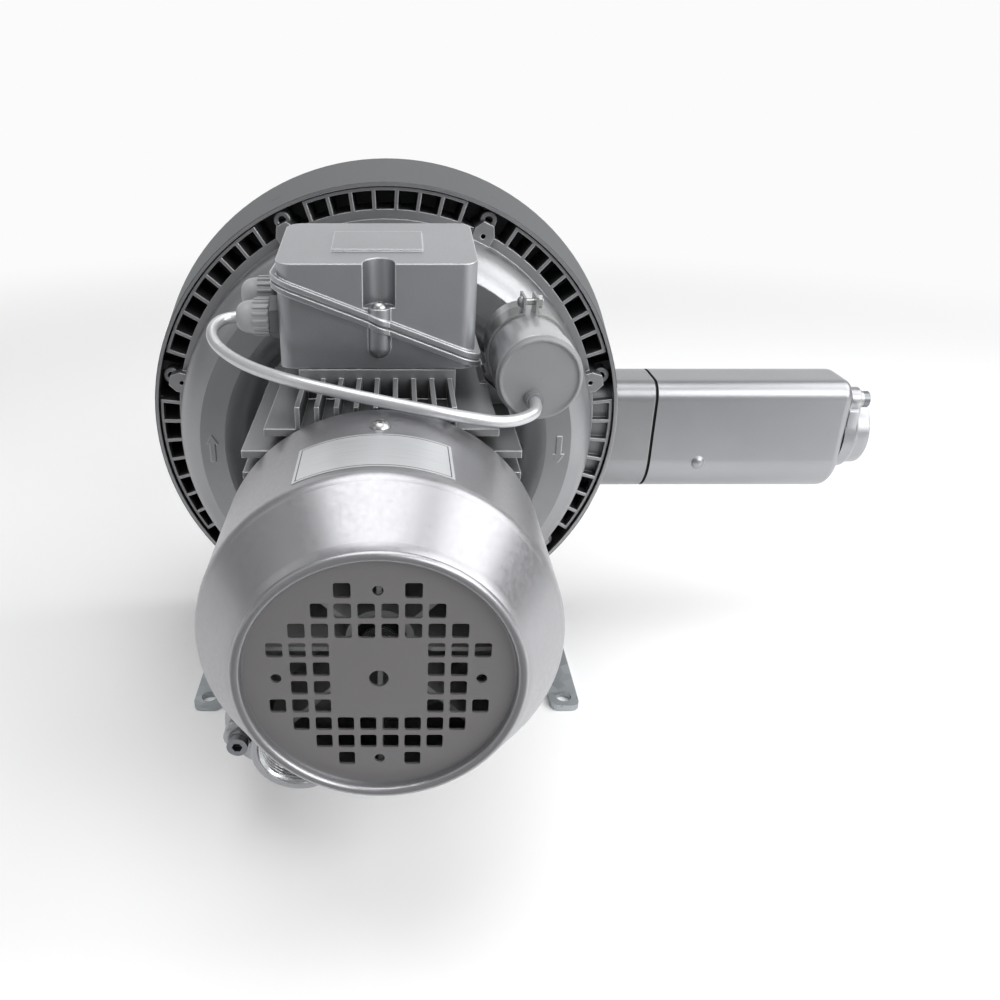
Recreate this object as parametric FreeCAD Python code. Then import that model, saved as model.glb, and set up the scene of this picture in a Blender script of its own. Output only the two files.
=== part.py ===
"""Side channel blower: finned motor, fan cover, terminal box, ring casing, two silencers and a foot frame.

Millimetres. While the pieces are made the shaft lies along Y through the origin, with the fan cover
towards -Y, the casing towards +Y and +Z up. Each piece is lifted by shaft_height when it is written,
so in the files the floor is Z = 0, under the shaft and at the centre of the foot holes.
"""
import FreeCAD
import Part
import math
import os

Vector = FreeCAD.Vector

# Fits: gaps on the radius, or face to face
shaft_height = 200.0
running_gap = 0.05
thread_gap = 0.05
bolt_gap = 0.4
seat_gap = 0.1
gasket_thickness = 1.5

# Shaft and bearings
fan_seat_radius = 10.0
bearing_seat_radius = 12.5
core_seat_radius = 15.0
impeller_seat_radius = 12.0
bearing_radius = 26.0
bearing_width = 15.0
bearing_pitch_radius = 19.25
ball_radius = 3.96
ball_count = 9
race_thickness = 3.4
front_bearing_y = -37.0
rear_bearing_y = -215.0
shaft_front_y = -280.0
shaft_end_y = 29.0
fan_seat_end_y = -219.0
key_width = 8.0
key_height = 7.0
key_length = 22.0

# Stator and rotor
core_front_y = -165.0
core_length = 90.0
stator_radius = 66.0
air_gap = 0.5
rotor_radius = 38.0
slot_count = 24
slot_width = 6.0
slot_top_radius = 56.0
slot_gap = 0.3
winding_overhang = 23.0
rotor_bar_count = 22
rotor_bar_radius = 2.6
rotor_bar_depth = 1.8

# Motor frame
frame_wall = 5.0
frame_front_y = -205.0
frame_rear_y = -30.0
fin_front_y = -194.0
fin_rear_y = -44.0
top_fin_count = 9
top_fin_pitch = 10.4
top_fin_thickness = 2.6
top_fin_height = 90.0
side_fin_count = 12
side_fin_pitch = 12.6
side_fin_thickness = 4.2
side_fin_reach = 76.0
fin_envelope_radius = 100.0
bottom_fin_depth = 84.0
box_centre_x = -3.0
plinth_width = 90.0
plinth_top = 95.5
shield_screw_circle = 75.5
shield_screw_radius = 2.5

# End shields
shield_thickness = 18.0
shield_spigot_radius = 40.0
shield_ear_circle = 85.0
shield_ear_radius = 9.0
flange_bolt_radius = 4.0
rear_plate_thickness = 12.0
rear_rim_depth = 26.0
rear_rim_thickness = 8.0
seal_radius = 20.0
seal_width = 7.0

# Cooling fan and its cover
cover_radius = 90.0
cover_sheet = 1.4
cover_rear_y = -198.0
cover_crease_y = -275.0
cover_face_y = -309.0
cover_bead_radius = 2.6
grille_radius = 63.0
grille_recess = 2.0
grille_pitch = 10.44
grille_hole = 7.7
grille_corner = 1.2
cover_screw_y = -222.0
cover_screw_radius = 2.5
fan_hub_radius = 17.0
fan_tip_radius = 80.0
fan_front_y = -284.0
fan_rear_y = -238.0
fan_blade_count = 8
fan_blade_thickness = 2.5

# Casing
chamber_front_y = -3.0
chamber_rear_y = 45.0
split_y = 60.0
chamber_radius = 149.0
channel_centre_radius = 126.0
channel_radius = 23.0
casing_wall = 6.0
crown_wall = 9.0
land_radius = 162.0
web_thickness = 9.0
channel_start_angle = 190.0
channel_sweep = 280.0
annulus_inner_radius = 118.0
annulus_outer_radius = 136.0
rim_front_y = 14.0
rim_rear_y = 84.0
rim_front_radius = 180.5
rim_rear_radius = 190.0
rim_wall = 2.8
slot_face_y = 17.0
sector_count = 7
ribs_per_sector = 8
rib_pitch_angle = 5.42
rib_thickness = 2.6
frame_outer_radius = 176.8
frame_width = 2.2
frame_depth = 7.0
pocket_floor_y = 56.0
lug_circle = 160.0
lug_radius = 8.0
lug_front_y = 10.0
cover_bolt_radius = 3.0
cover_flange = 8.0

# Impeller
impeller_gap = 1.0
impeller_radius = 147.0
impeller_hub_radius = 24.0
impeller_ring_radius = 104.0
impeller_blade_count = 40
impeller_blade_thickness = 3.0
impeller_web_thickness = 12.0
impeller_bolt_radius = 5.0

# Silencers and ports
silencer_tall = 98.0
silencer_deep = 70.0
silencer_length = 157.0
silencer_wall = 3.5
silencer_end_wall = 6.0
silencer_small_corner = 14.0
silencer_large_corner = 34.0
silencer_end_round = 7.0
foam_thickness = 8.0
port_wall = 5.0
outlet_y = 58.0
outlet_z = -19.0
outlet_face_x = 211.5
outlet_root_x = 145.0
inlet_x = -52.3
inlet_z = -124.0
inlet_face_y = -39.5
inlet_root_y = 18.0
inlet_duct_radius = 22.0
port_bore_radius = 23.9
port_ring_radius = 29.0
port_ring_length = 22.0
port_flange_thickness = 9.0
port_bolt_spread = 37.6
port_bolt_radius = 4.0
port_ear_radius = 10.0
outlet_tilt = 32.0
inlet_tilt = 0.0

# Feet
foot_hole_x = 140.0
foot_hole_y = 75.0
foot_hole_radius = 6.0
rail_width = 22.0
rail_length = 172.0
rail_thickness = 5.0
plate_thickness = 5.0
leg_x = 115.0
leg_width = 24.0
leg_front_y = 24.0
leg_rear_y = 74.0
leg_flange = 10.0
leg_flange_width = 58.0
leg_bolt_radius = 4.0
leg_screw_spread = 26.0
leg_pad_depth = 13.0

# Terminal box
box_width = 112.0
box_front_y = -146.0
box_depth = 76.0
box_floor_z = 96.0
box_wall = 3.5
box_corner = 9.0
box_rim_width = 3.5
box_rim_thickness = 3.0
parting_centre_z = 122.0
parting_slope = 21.1
lid_front_z = 155.0
lid_slope = 7.5
box_gasket = 1.2
boss_x = -1.6
boss_radius = 6.5
boss_bottom_z = 102.0
lid_screw_seat_z = 131.0
lid_notch_radius = 9.0
lid_screw_radius = 2.4

# Cable glands
gland_count = 2
gland_y = (-122.0, -98.0)
gland_z = (120.0, 128.0)
gland_thread_radius = 8.0
gland_hex_radius = 11.0
gland_nut_radius = 10.2
gland_nut_length = 20.0
gland_hex_length = 6.0
cable_radius = 3.4

# Run capacitor
capacitor_x = 88.2
capacitor_z = 94.5
capacitor_radius = 23.6
capacitor_front_y = -162.0
capacitor_rear_y = -72.0
capacitor_cap_depth = 22.0
capacitor_exit_drop = 11.3
capacitor_exit_shift = 3.0
capacitor_hole_radius = 5.4
clamp_y = -102.0
clamp_width = 18.0
clamp_thickness = 1.5
bracket_root_radius = 101.0
pad_width = 20.0

tiny = 1e-6


def cylinder(radius, start, direction, length):
    """A solid cylinder from a start point."""
    return Part.makeCylinder(radius, length, start, direction)


def along_y(radius, y_from, y_to, x=0.0, z=0.0):
    """A cylinder parallel to the shaft."""
    return cylinder(radius, Vector(x, y_from, z), Vector(0, 1, 0), y_to - y_from)


def block(x_from, x_to, y_from, y_to, z_from, z_to):
    """A plain box between two corners."""
    return Part.makeBox(x_to - x_from, y_to - y_from, z_to - z_from, Vector(x_from, y_from, z_from))


def wire_of(steps, place):
    """A closed wire. A step is a point, or a pair of points: an arc's middle and end."""
    edges = []
    here = steps[0]
    for step in list(steps[1:]) + [steps[0]]:
        if isinstance(step[0], tuple):
            middle, end = step
            edges.append(Part.Arc(place(*here), place(*middle), place(*end)).toShape())
        else:
            end = step
            if math.dist(here, end) > tiny:
                edges.append(Part.LineSegment(place(*here), place(*end)).toShape())
        here = end
    return Part.Wire(edges)


def turned(*steps, start=0.0, sweep=360.0):
    """A closed (radius, y) outline turned about the shaft, from an angle measured clockwise from the top."""
    face = Part.Face(wire_of(steps, lambda radius, y: Vector(radius, y, 0)))
    face.rotate(Vector(), Vector(0, 1, 0), start - 90.0)
    return face.revolve(Vector(), Vector(0, 1, 0), sweep)


def ring(inner, outer, y_from, y_to, **turn):
    """A plain ring about the shaft."""
    return turned((inner, y_from), (outer, y_from), (outer, y_to), (inner, y_to), **turn)


def prism(steps, y_from, y_to):
    """An (x, z) outline drawn out along Y."""
    face = Part.Face(wire_of(steps, lambda x, z: Vector(x, y_from, z)))
    return face.extrude(Vector(0, y_to - y_from, 0))


def rounded_steps(x_from, x_to, z_from, z_to, lower, upper, far_upper=None):
    """The outline of a rectangle whose lower, upper and far upper corners have their own radii."""
    far = far_upper or upper
    low = lower * (1 - math.sqrt(0.5))
    top = upper * (1 - math.sqrt(0.5))
    away = far * (1 - math.sqrt(0.5))
    return [
        (x_from + lower, z_from), (x_to - lower, z_from),
        ((x_to - low, z_from + low), (x_to, z_from + lower)), (x_to, z_to - far),
        ((x_to - away, z_to - away), (x_to - far, z_to)), (x_from + upper, z_to),
        ((x_from + top, z_to - top), (x_from, z_to - upper)), (x_from, z_from + lower),
        ((x_from + low, z_from + low), (x_from + lower, z_from))]


def upright(x_from, x_to, y_from, y_to, z_from, z_to, corner):
    """A box with its four upright edges rounded."""
    steps = rounded_steps(x_from, x_to, y_from, y_to, corner, corner)
    face = Part.Face(wire_of(steps, lambda x, y: Vector(x, y, z_from)))
    return face.extrude(Vector(0, 0, z_to - z_from))


def hexagon(radius, start, direction, length):
    """A hexagonal prism; radius is half the width across its flats."""
    corner = radius / math.cos(math.pi / 6)
    points = [Vector(corner * math.cos(math.radians(60 * k)), corner * math.sin(math.radians(60 * k)), 0)
              for k in range(7)]
    solid = Part.Face(Part.makePolygon(points)).extrude(Vector(0, 0, length))
    solid.Placement = FreeCAD.Placement(start, FreeCAD.Rotation(Vector(0, 0, 1), direction))
    return solid


def at_angle(shape, angle):
    """A copy of a shape made at the top, moved clockwise about the shaft."""
    copy = shape.copy()
    copy.rotate(Vector(), Vector(0, 1, 0), angle)
    return copy


def joined(shapes):
    """One solid from touching shapes."""
    first, *rest = shapes
    whole = first.fuse(rest) if rest else first
    return whole.removeSplitter()


def group(shapes):
    """Several solids kept apart in one node."""
    return Part.makeCompound(shapes)


def cap_screw(shank, length, head_radius, head_height, seat, direction):
    """A cylindrical head with a hexagon socket; direction points from the seat towards the tip."""
    back = Vector(direction).multiply(-1.0)
    head = cylinder(head_radius, seat, back, head_height)
    top = seat.add(Vector(back).multiply(head_height))
    socket = hexagon(head_radius * 0.45, top, direction, head_height * 0.55)
    return head.fuse(cylinder(shank, seat, direction, length)).cut(socket)


def pan_screw(shank, length, head_radius, head_height, seat, direction):
    """A domed head with a cross recess; direction points from the seat towards the tip."""
    back = Vector(direction).multiply(-1.0)
    dome_radius = (head_radius ** 2 + head_height ** 2) / (2 * head_height)
    centre = seat.add(Vector(direction).multiply(dome_radius - head_height))
    head = Part.makeSphere(dome_radius, centre).common(cylinder(head_radius * 1.2, seat, back, head_height))
    turn = FreeCAD.Placement(seat, FreeCAD.Rotation(Vector(0, 0, 1), back))
    arms = []
    for across, along in ((0.16, 0.5), (0.5, 0.16)):
        arm = block(-across * head_radius, across * head_radius, -along * head_radius,
                    along * head_radius, head_height * 0.45, head_height * 2)
        arm.Placement = turn
        arms.append(arm)
    return head.fuse(cylinder(shank, seat, direction, length)).cut(arms)


# Rotor: shaft, bearings, rotor core and impeller

def bearing(y_from):
    """Outer race, inner race, and the balls with their cage, as three shapes."""
    y_to = y_from + bearing_width
    middle = y_from + bearing_width / 2
    groove = Part.makeTorus(bearing_pitch_radius, ball_radius + running_gap, Vector(0, middle, 0),
                            Vector(0, 1, 0))
    outer = ring(bearing_radius - race_thickness, bearing_radius, y_from, y_to).cut(groove)
    inner = ring(bearing_seat_radius, bearing_seat_radius + race_thickness, y_from, y_to).cut(groove)
    cage = ring(bearing_pitch_radius - 1.2, bearing_pitch_radius + 1.2, middle - 5, middle + 5)
    ball = Part.makeSphere(ball_radius, Vector(0, middle, bearing_pitch_radius))
    balls = [at_angle(ball, 360.0 * k / ball_count) for k in range(ball_count)]
    return outer, inner, cage.fuse(balls)


def motor_shaft():
    """Stepped shaft, with a keyway for the impeller and a tapped end."""
    rear_end = rear_bearing_y + bearing_width
    steps = (
        (0, shaft_front_y), (fan_seat_radius, shaft_front_y), (fan_seat_radius, fan_seat_end_y),
        (bearing_seat_radius, fan_seat_end_y), (bearing_seat_radius, rear_end),
        (core_seat_radius, rear_end), (core_seat_radius, front_bearing_y),
        (bearing_seat_radius, front_bearing_y), (bearing_seat_radius, chamber_front_y + impeller_gap),
        (impeller_seat_radius, chamber_front_y + impeller_gap), (impeller_seat_radius, shaft_end_y),
        (0, shaft_end_y))
    hole = along_y(impeller_bolt_radius + thread_gap, shaft_end_y - 24, shaft_end_y + 1)
    clip_groove = ring(fan_seat_radius - 1.0, fan_seat_radius + 1.0, fan_front_y + 5.0, fan_front_y + 6.2)
    return turned(*steps).cut([keyway(running_gap), hole, clip_groove])


def keyway(gap):
    """The room that the impeller key takes, with a gap all round."""
    foot = impeller_seat_radius - 4.0 - gap
    return block(-key_width / 2 - gap, key_width / 2 + gap, shaft_end_y - key_length - 3 - gap,
                 shaft_end_y - 3 + gap, foot, foot + key_height + 2 * gap)


def impeller():
    """Hub, web and rim with a ring of radial blades that reach into both side channels."""
    front = chamber_front_y + impeller_gap
    rear = chamber_rear_y - impeller_gap
    middle = (front + rear) / 2
    half = impeller_web_thickness / 2
    hub_bore = impeller_seat_radius + running_gap
    body = turned(
        (hub_bore, front), (impeller_hub_radius, front), (impeller_hub_radius, middle - half),
        (impeller_ring_radius - 6, middle - half), (impeller_ring_radius - 6, front),
        (impeller_ring_radius, front), (impeller_ring_radius + 12, middle - 2),
        (impeller_radius, middle - 2), (impeller_radius, middle + 2),
        (impeller_ring_radius + 12, middle + 2), (impeller_ring_radius, rear),
        (impeller_ring_radius - 6, rear), (impeller_ring_radius - 6, middle + half),
        (impeller_hub_radius, middle + half), (impeller_hub_radius, shaft_end_y + 1),
        (hub_bore, shaft_end_y + 1))
    half_blade = impeller_blade_thickness / 2
    blade = block(-half_blade, half_blade, front, rear, impeller_ring_radius - 1, impeller_radius)
    blades = [at_angle(blade, 360.0 * k / impeller_blade_count) for k in range(impeller_blade_count)]
    return body.fuse(blades).cut(keyway(running_gap))


def impeller_fastening():
    """Key, washer and bolt at the end of the shaft."""
    seat = shaft_end_y + 1
    washer = ring(impeller_bolt_radius + bolt_gap, impeller_hub_radius - 4, seat, seat + 4)
    head = hexagon(8.0, Vector(0, seat + 4, 0), Vector(0, 1, 0), 6.4)
    shank = along_y(impeller_bolt_radius, shaft_end_y - 22, seat + 4)
    return keyway(0.0), washer, head.fuse(shank)


def rotor_core():
    """Laminated core with round slots for the cage bars."""
    rear = core_front_y + core_length
    core = ring(core_seat_radius, rotor_radius, core_front_y, rear)
    bar = along_y(rotor_bar_radius, core_front_y, rear, z=rotor_radius - rotor_bar_depth - rotor_bar_radius)
    return core.cut([at_angle(bar, 360.0 * k / rotor_bar_count) for k in range(rotor_bar_count)])


def rotor_cage():
    """Cast bars and end rings."""
    rear = core_front_y + core_length
    inner = rotor_radius - 2 - 3 * rotor_bar_radius
    rings = [ring(inner, rotor_radius - 1, core_front_y - 11, core_front_y),
             ring(inner, rotor_radius - 1, rear, rear + 11)]
    bar = along_y(rotor_bar_radius, core_front_y - 2, rear + 2, z=rotor_radius - rotor_bar_depth - rotor_bar_radius)
    return joined(rings + [at_angle(bar, 360.0 * k / rotor_bar_count) for k in range(rotor_bar_count)])


# Stator and motor frame

def stator_slot(gap):
    """One slot, or with a gap the copper that fills it."""
    half = slot_width / 2 - gap
    bottom = rotor_radius + air_gap - 1 if gap == 0 else rotor_radius + air_gap + 2
    return block(-half, half, core_front_y, core_front_y + core_length, bottom, slot_top_radius - gap)


def stator_core():
    core = ring(rotor_radius + air_gap, stator_radius, core_front_y, core_front_y + core_length)
    return core.cut([at_angle(stator_slot(0), 360.0 * k / slot_count) for k in range(slot_count)])


def stator_windings():
    """End turns at both ends, joined through the slots."""
    inner = rotor_radius + air_gap + 2.5
    outer = slot_top_radius + 4
    rear = core_front_y + core_length
    depth = winding_overhang
    half_way = (inner + outer) / 2
    turns = []
    for face, away in ((core_front_y - seat_gap, -1), (rear + seat_gap, 1)):
        tip = face + away * depth
        turns.append(turned((inner, face), (inner, tip - away * 8), ((inner + 3, tip - away * 2), (half_way, tip)),
                            ((outer - 3, tip - away * 2), (outer, tip - away * 8)), (outer, face)))
    bar = stator_slot(slot_gap)
    bar = bar.fuse([bar.translated(Vector(0, 1, 0)), bar.translated(Vector(0, -1, 0))])
    return turns[0].fuse([turns[1]] + [at_angle(bar, 360.0 * k / slot_count) for k in range(slot_count)])


def motor_frame():
    """Tube with upright fins above and below, level fins at the sides, a plinth and a capacitor pad."""
    outer = stator_radius + frame_wall
    tube = ring(stator_radius - 2, outer, frame_front_y, frame_rear_y)
    parts = []
    half = top_fin_thickness / 2
    for k in range(top_fin_count):
        x = box_centre_x + (k - (top_fin_count - 1) / 2) * top_fin_pitch
        parts.append(block(x - half, x + half, fin_front_y, fin_rear_y, 30, top_fin_height))
        if abs(x) < 44:
            parts.append(block(x - half, x + half, fin_front_y, fin_rear_y, -bottom_fin_depth, -30))
    half = side_fin_thickness / 2
    for k in range(side_fin_count):
        z = (k - (side_fin_count - 1) / 2 + 0.5) * side_fin_pitch
        reach = min(side_fin_reach, math.sqrt(fin_envelope_radius ** 2 - (abs(z) + half) ** 2))
        if z < 0:
            reach = min(reach, math.sqrt(bottom_fin_depth ** 2 - z ** 2) + 8)
        parts.append(block(-reach, reach, fin_front_y, fin_rear_y, z - half, z + half))
    plinth_half = plinth_width / 2
    plinth = block(box_centre_x - plinth_half, box_centre_x + plinth_half, box_front_y,
                   box_front_y + box_depth, 30, plinth_top)
    pad = at_angle(block(-pad_width / 2, pad_width / 2, clamp_y - 16, clamp_y + 16, 40,
                         bracket_root_radius), capacitor_angle())
    boss = along_y(8.0, frame_front_y, frame_front_y + 30, z=shield_screw_circle)
    bosses = [at_angle(boss, 45 + 90 * k) for k in range(4)]
    flange = ring(stator_radius - 2, outer + 3, frame_rear_y - 12, frame_rear_y)
    frame = tube.fuse(parts + [plinth, pad, flange] + bosses)
    wire_hole = cylinder(11.0, Vector(box_centre_x, box_front_y + box_depth / 2, 40), Vector(0, 0, 1), 80)
    screw_hole = along_y(shield_screw_radius + thread_gap, frame_front_y - 1, frame_front_y + 20,
                         z=shield_screw_circle)
    plinth_holes = [cylinder(box_screw_radius(), place, Vector(0, 0, -1), 20)
                    for place in box_screw_places(plinth_top + 1)]
    bores = [along_y(stator_radius - 2, frame_front_y - 1, frame_rear_y + 1),
             along_y(stator_radius, core_front_y, frame_rear_y + 1),
             wire_hole]
    drive_holes = [at_angle(along_y(drive_screw_radius() + thread_gap, frame_rear_y - 20, frame_rear_y + 1,
                                    z=drive_screw_circle()), 90 * k) for k in range(4)]
    return frame.cut(bores + plinth_holes + drive_holes
                     + [at_angle(screw_hole, 45 + 90 * k) for k in range(4)]).removeSplitter()


def capacitor_angle():
    """Where the capacitor lies, clockwise from the top."""
    return math.degrees(math.atan2(capacitor_x, capacitor_z))


def box_screw_radius():
    return lid_screw_radius + thread_gap


def box_screw_places(z):
    """Four screws that hold the terminal box on its plinth."""
    across = plinth_width / 2 - 10
    centre = box_front_y + box_depth / 2
    return [Vector(box_centre_x + sx * across, centre + sy * (box_depth / 2 - 12), z)
            for sx in (-1, 1) for sy in (-1, 1)]


def drive_screw_circle():
    return stator_radius + frame_wall + 3 - 5


def drive_screw_radius():
    return shield_screw_radius


def drive_end_shield():
    """Disc that carries the front bearing and the seal, spigoted into the casing and bolted by four ears."""
    face = frame_rear_y + shield_thickness
    spigot_end = chamber_front_y - 1.0
    hub = bearing_radius + 7
    seat_end = front_bearing_y + bearing_width
    outer = stator_radius + frame_wall + 3
    disc = turned(
        (bearing_seat_radius + 1.5, spigot_end), (bearing_seat_radius + 1.5, seat_end),
        (bearing_radius, seat_end), (bearing_radius, front_bearing_y), (hub, front_bearing_y),
        (hub, frame_rear_y - 5), (stator_radius - seat_gap, frame_rear_y - 5),
        (stator_radius - seat_gap, frame_rear_y), (outer, frame_rear_y), (outer, face),
        (shield_spigot_radius - seat_gap, face), (shield_spigot_radius - seat_gap, spigot_end))
    ear = along_y(shield_ear_radius, face - 12, face, z=shield_ear_circle)
    web = block(-shield_ear_radius, shield_ear_radius, face - 12, face, outer - 12, shield_ear_circle)
    ears = [at_angle(piece, 45 + 90 * k) for k in range(4) for piece in (ear, web)]
    bolt_hole = along_y(flange_bolt_radius + bolt_gap, face - 13, face + 1, z=shield_ear_circle)
    screw_hole = along_y(drive_screw_radius() + bolt_gap, frame_rear_y - 1, face - 6,
                         z=drive_screw_circle())
    head_hole = along_y(5.2, face - 8, face + 1, z=drive_screw_circle())
    seal_seat = along_y(seal_radius, spigot_end - seal_width - 1.0, spigot_end + 1)
    cuts = [at_angle(bolt_hole, 45 + 90 * k) for k in range(4)]
    cuts += [at_angle(hole, 90 * k) for k in range(4) for hole in (screw_hole, head_hole)]
    return disc.fuse(ears).cut(cuts + [seal_seat]).removeSplitter()


def shaft_seal():
    """Lip seal pressed into the shield, its lip just off the shaft."""
    end = chamber_front_y - 2.0
    start = end - seal_width
    lip = bearing_seat_radius + running_gap
    return turned((seal_radius, start), (seal_radius, end), (lip + 3, end), (lip, end - 2.5),
                  (lip + 2.5, start + 1.5), (seal_radius - 2.5, start + 1.5), (seal_radius - 2.5, start))


def drive_screws():
    """Screws from the shield into the frame."""
    face = frame_rear_y + shield_thickness
    screw = cap_screw(drive_screw_radius(), 24.0, 4.2, 5.0, Vector(0, face - 8, drive_screw_circle()),
                      Vector(0, -1, 0))
    return [at_angle(screw, 90 * k) for k in range(4)]


def flange_bolts():
    """Bolts through the shield's ears into the casing's web."""
    seat = frame_rear_y + shield_thickness - 12
    bolt = cap_screw(flange_bolt_radius, 12 + web_thickness - 2, 6.0, 7.0,
                     Vector(0, seat, shield_ear_circle), Vector(0, 1, 0))
    return group([at_angle(bolt, 45 + 90 * k) for k in range(4)])


def rear_end_shield():
    """Plate that carries the rear bearing, with a rim that the fan cover slides over."""
    front = frame_front_y - rear_plate_thickness
    outer = cover_radius - cover_sheet - seat_gap
    hub = bearing_radius + 6
    plate = turned(
        (bearing_radius, rear_bearing_y), (bearing_radius, rear_bearing_y + bearing_width),
        (hub, rear_bearing_y + bearing_width), (hub, frame_front_y),
        (stator_radius - 2 - seat_gap, frame_front_y), (stator_radius - 2 - seat_gap, frame_front_y + 4),
        (stator_radius - 4 - seat_gap, frame_front_y + 4), (stator_radius - 4 - seat_gap, frame_front_y),
        (outer, frame_front_y), (outer, frame_front_y - rear_rim_depth),
        (outer - rear_rim_thickness, frame_front_y - rear_rim_depth),
        (outer - rear_rim_thickness, front), (hub, front), (hub, rear_bearing_y - 4),
        (fan_seat_radius + 1.0, rear_bearing_y - 4), (fan_seat_radius + 1.0, rear_bearing_y))
    shaft_room = along_y(bearing_seat_radius + 0.6, rear_bearing_y - 5, rear_bearing_y + 1)
    hole = along_y(shield_screw_radius + bolt_gap, front - 1, frame_front_y + 1, z=shield_screw_circle)
    tapped = cylinder(cover_screw_radius + thread_gap, Vector(0, cover_screw_y, outer - 12),
                      Vector(0, 0, 1), 20)
    cuts = [at_angle(hole, 45 + 90 * k) for k in range(4)]
    cuts += [at_angle(tapped, 90 * k) for k in range(4)]
    return plate.cut(cuts + [shaft_room]).removeSplitter()


def rear_shield_screws():
    seat = frame_front_y - rear_plate_thickness
    screw = cap_screw(shield_screw_radius, rear_plate_thickness + 18, 4.2, 5.0,
                      Vector(0, seat, shield_screw_circle), Vector(0, 1, 0))
    return [at_angle(screw, 45 + 90 * k) for k in range(4)]


# Cooling fan and cover

def cooling_fan():
    """Plastic fan: hub, back disc and straight radial blades."""
    bore = fan_seat_radius + running_gap
    hub_front = fan_front_y + 7.5
    hub = turned((bore, hub_front), (fan_hub_radius, hub_front), (fan_hub_radius, fan_rear_y - 4),
                 (fan_tip_radius - 6, fan_rear_y - 2.5), (fan_tip_radius - 6, fan_rear_y),
                 (bore, fan_rear_y))
    half = fan_blade_thickness / 2
    outline = [(fan_hub_radius - 2, fan_rear_y - 1), (fan_tip_radius, fan_rear_y - 1),
               (fan_tip_radius, fan_rear_y - 26), (fan_tip_radius - 9, fan_front_y),
               (fan_hub_radius + 8, fan_front_y), (fan_hub_radius - 2, hub_front)]
    face = Part.Face(wire_of(outline, lambda radius, y: Vector(-half, y, radius)))
    blade = face.extrude(Vector(fan_blade_thickness, 0, 0))
    return hub.fuse([at_angle(blade, 360.0 * k / fan_blade_count) for k in range(fan_blade_count)])


def fan_circlip():
    """Retaining ring in the shaft's groove, in front of the fan's hub."""
    start = fan_front_y + 5.1
    clip = ring(fan_seat_radius - 0.9, fan_seat_radius + 3.5, start, start + 1.0)
    return clip.cut(block(-2.5, 2.5, start - 1, start + 2, -20, 0))


def grille_places():
    """Centres of the square and the round holes, in hole pitches from the centre."""
    row_columns = {4.5: (1.5,), 3.5: (0.5, 1.5, 2.5), 2.5: (0.5, 1.5, 2.5, 3.5), 1.5: (2.5, 3.5, 4.5),
                   0.5: (2.5, 3.5)}
    squares = [(sx * column, sz * row) for row, columns in row_columns.items() for column in columns
               for sx in (-1, 1) for sz in (-1, 1)]
    rounds = [(4.5, 0), (-4.5, 0), (0, 4.5), (0, -4.5)]
    return squares, rounds


def fan_cover():
    """Pressed sheet cover: cylinder, cone, rolled bead and a recessed grille."""
    sheet = cover_sheet
    bead = cover_bead_radius
    root = grille_radius
    cone_end = root + 2 * bead
    face_y = cover_face_y + grille_recess
    shell = turned(
        (cover_radius - sheet, cover_rear_y), (cover_radius, cover_rear_y), (cover_radius, cover_crease_y),
        ((cover_radius - 0.7, cover_crease_y - 3.2), (cover_radius - 2.5, cover_crease_y - 6)),
        (cone_end + 2.6, cover_face_y + 3.0), ((cone_end + 1.1, cover_face_y + 1.1), (cone_end, cover_face_y)),
        ((root + bead, cover_face_y - bead), (root, cover_face_y)), (root, face_y + sheet),
        (cone_end - sheet, cover_face_y + sheet + 1.5), (cone_end + 1.6, cover_face_y + 4.4),
        (cover_radius - sheet - 2.5, cover_crease_y - 5), (cover_radius - sheet, cover_crease_y))
    squares, rounds = grille_places()
    half = grille_hole / 2
    outer = Part.Wire([Part.makeCircle(root + 0.5, Vector(0, face_y, 0), Vector(0, 1, 0))])
    wires = [outer]
    for x, z in squares:
        cx = x * grille_pitch
        cz = z * grille_pitch
        steps = rounded_steps(cx - half, cx + half, cz - half, cz + half, grille_corner, grille_corner)
        wires.append(wire_of(steps, lambda u, v: Vector(u, face_y, v)))
    for x, z in rounds:
        centre = Vector(x * grille_pitch, face_y, z * grille_pitch)
        wires.append(Part.Wire([Part.makeCircle(2.5, centre, Vector(0, 1, 0))]))
    wires.append(Part.Wire([Part.makeCircle(4.5, Vector(0, face_y, 0), Vector(0, 1, 0))]))
    grille = Part.Face(wires, "Part::FaceMakerBullseye").extrude(Vector(0, sheet, 0))
    hole = cylinder(cover_screw_radius + bolt_gap, Vector(0, cover_screw_y, cover_radius - 5),
                    Vector(0, 0, 1), 10)
    return shell.fuse(grille).cut([at_angle(hole, 90 * k) for k in range(4)])


def fan_cover_screws():
    """Pan head screws that hold the cover to the rear shield."""
    screw = pan_screw(cover_screw_radius, 10.0, 5.3, 3.4, Vector(0, cover_screw_y, cover_radius + 0.02),
                      Vector(0, 0, -1))
    return group([at_angle(screw, 90 * k) for k in range(4)])


def nameplate():
    """Blank foil plate that follows the cover behind its crease."""
    middle = (cover_screw_y + cover_crease_y) / 2 - 3.5
    return ring(cover_radius + 0.02, cover_radius + 0.35, middle - 19.5, middle + 19.5, start=-26, sweep=48.6)


# Casing

def sector_angles():
    """Lugs between the sectors of ribs, clockwise from the top."""
    return [180.0 + 360.0 * k / sector_count for k in range(sector_count)]


def channel_groove(wall_y, away):
    """Half of the side channel, on one side of the impeller, interrupted by the stripper."""
    inner = channel_centre_radius - channel_radius
    outer = channel_centre_radius + channel_radius
    return turned((inner, wall_y), ((channel_centre_radius, wall_y + away * channel_radius), (outer, wall_y)),
                  start=channel_start_angle, sweep=channel_sweep)


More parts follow.
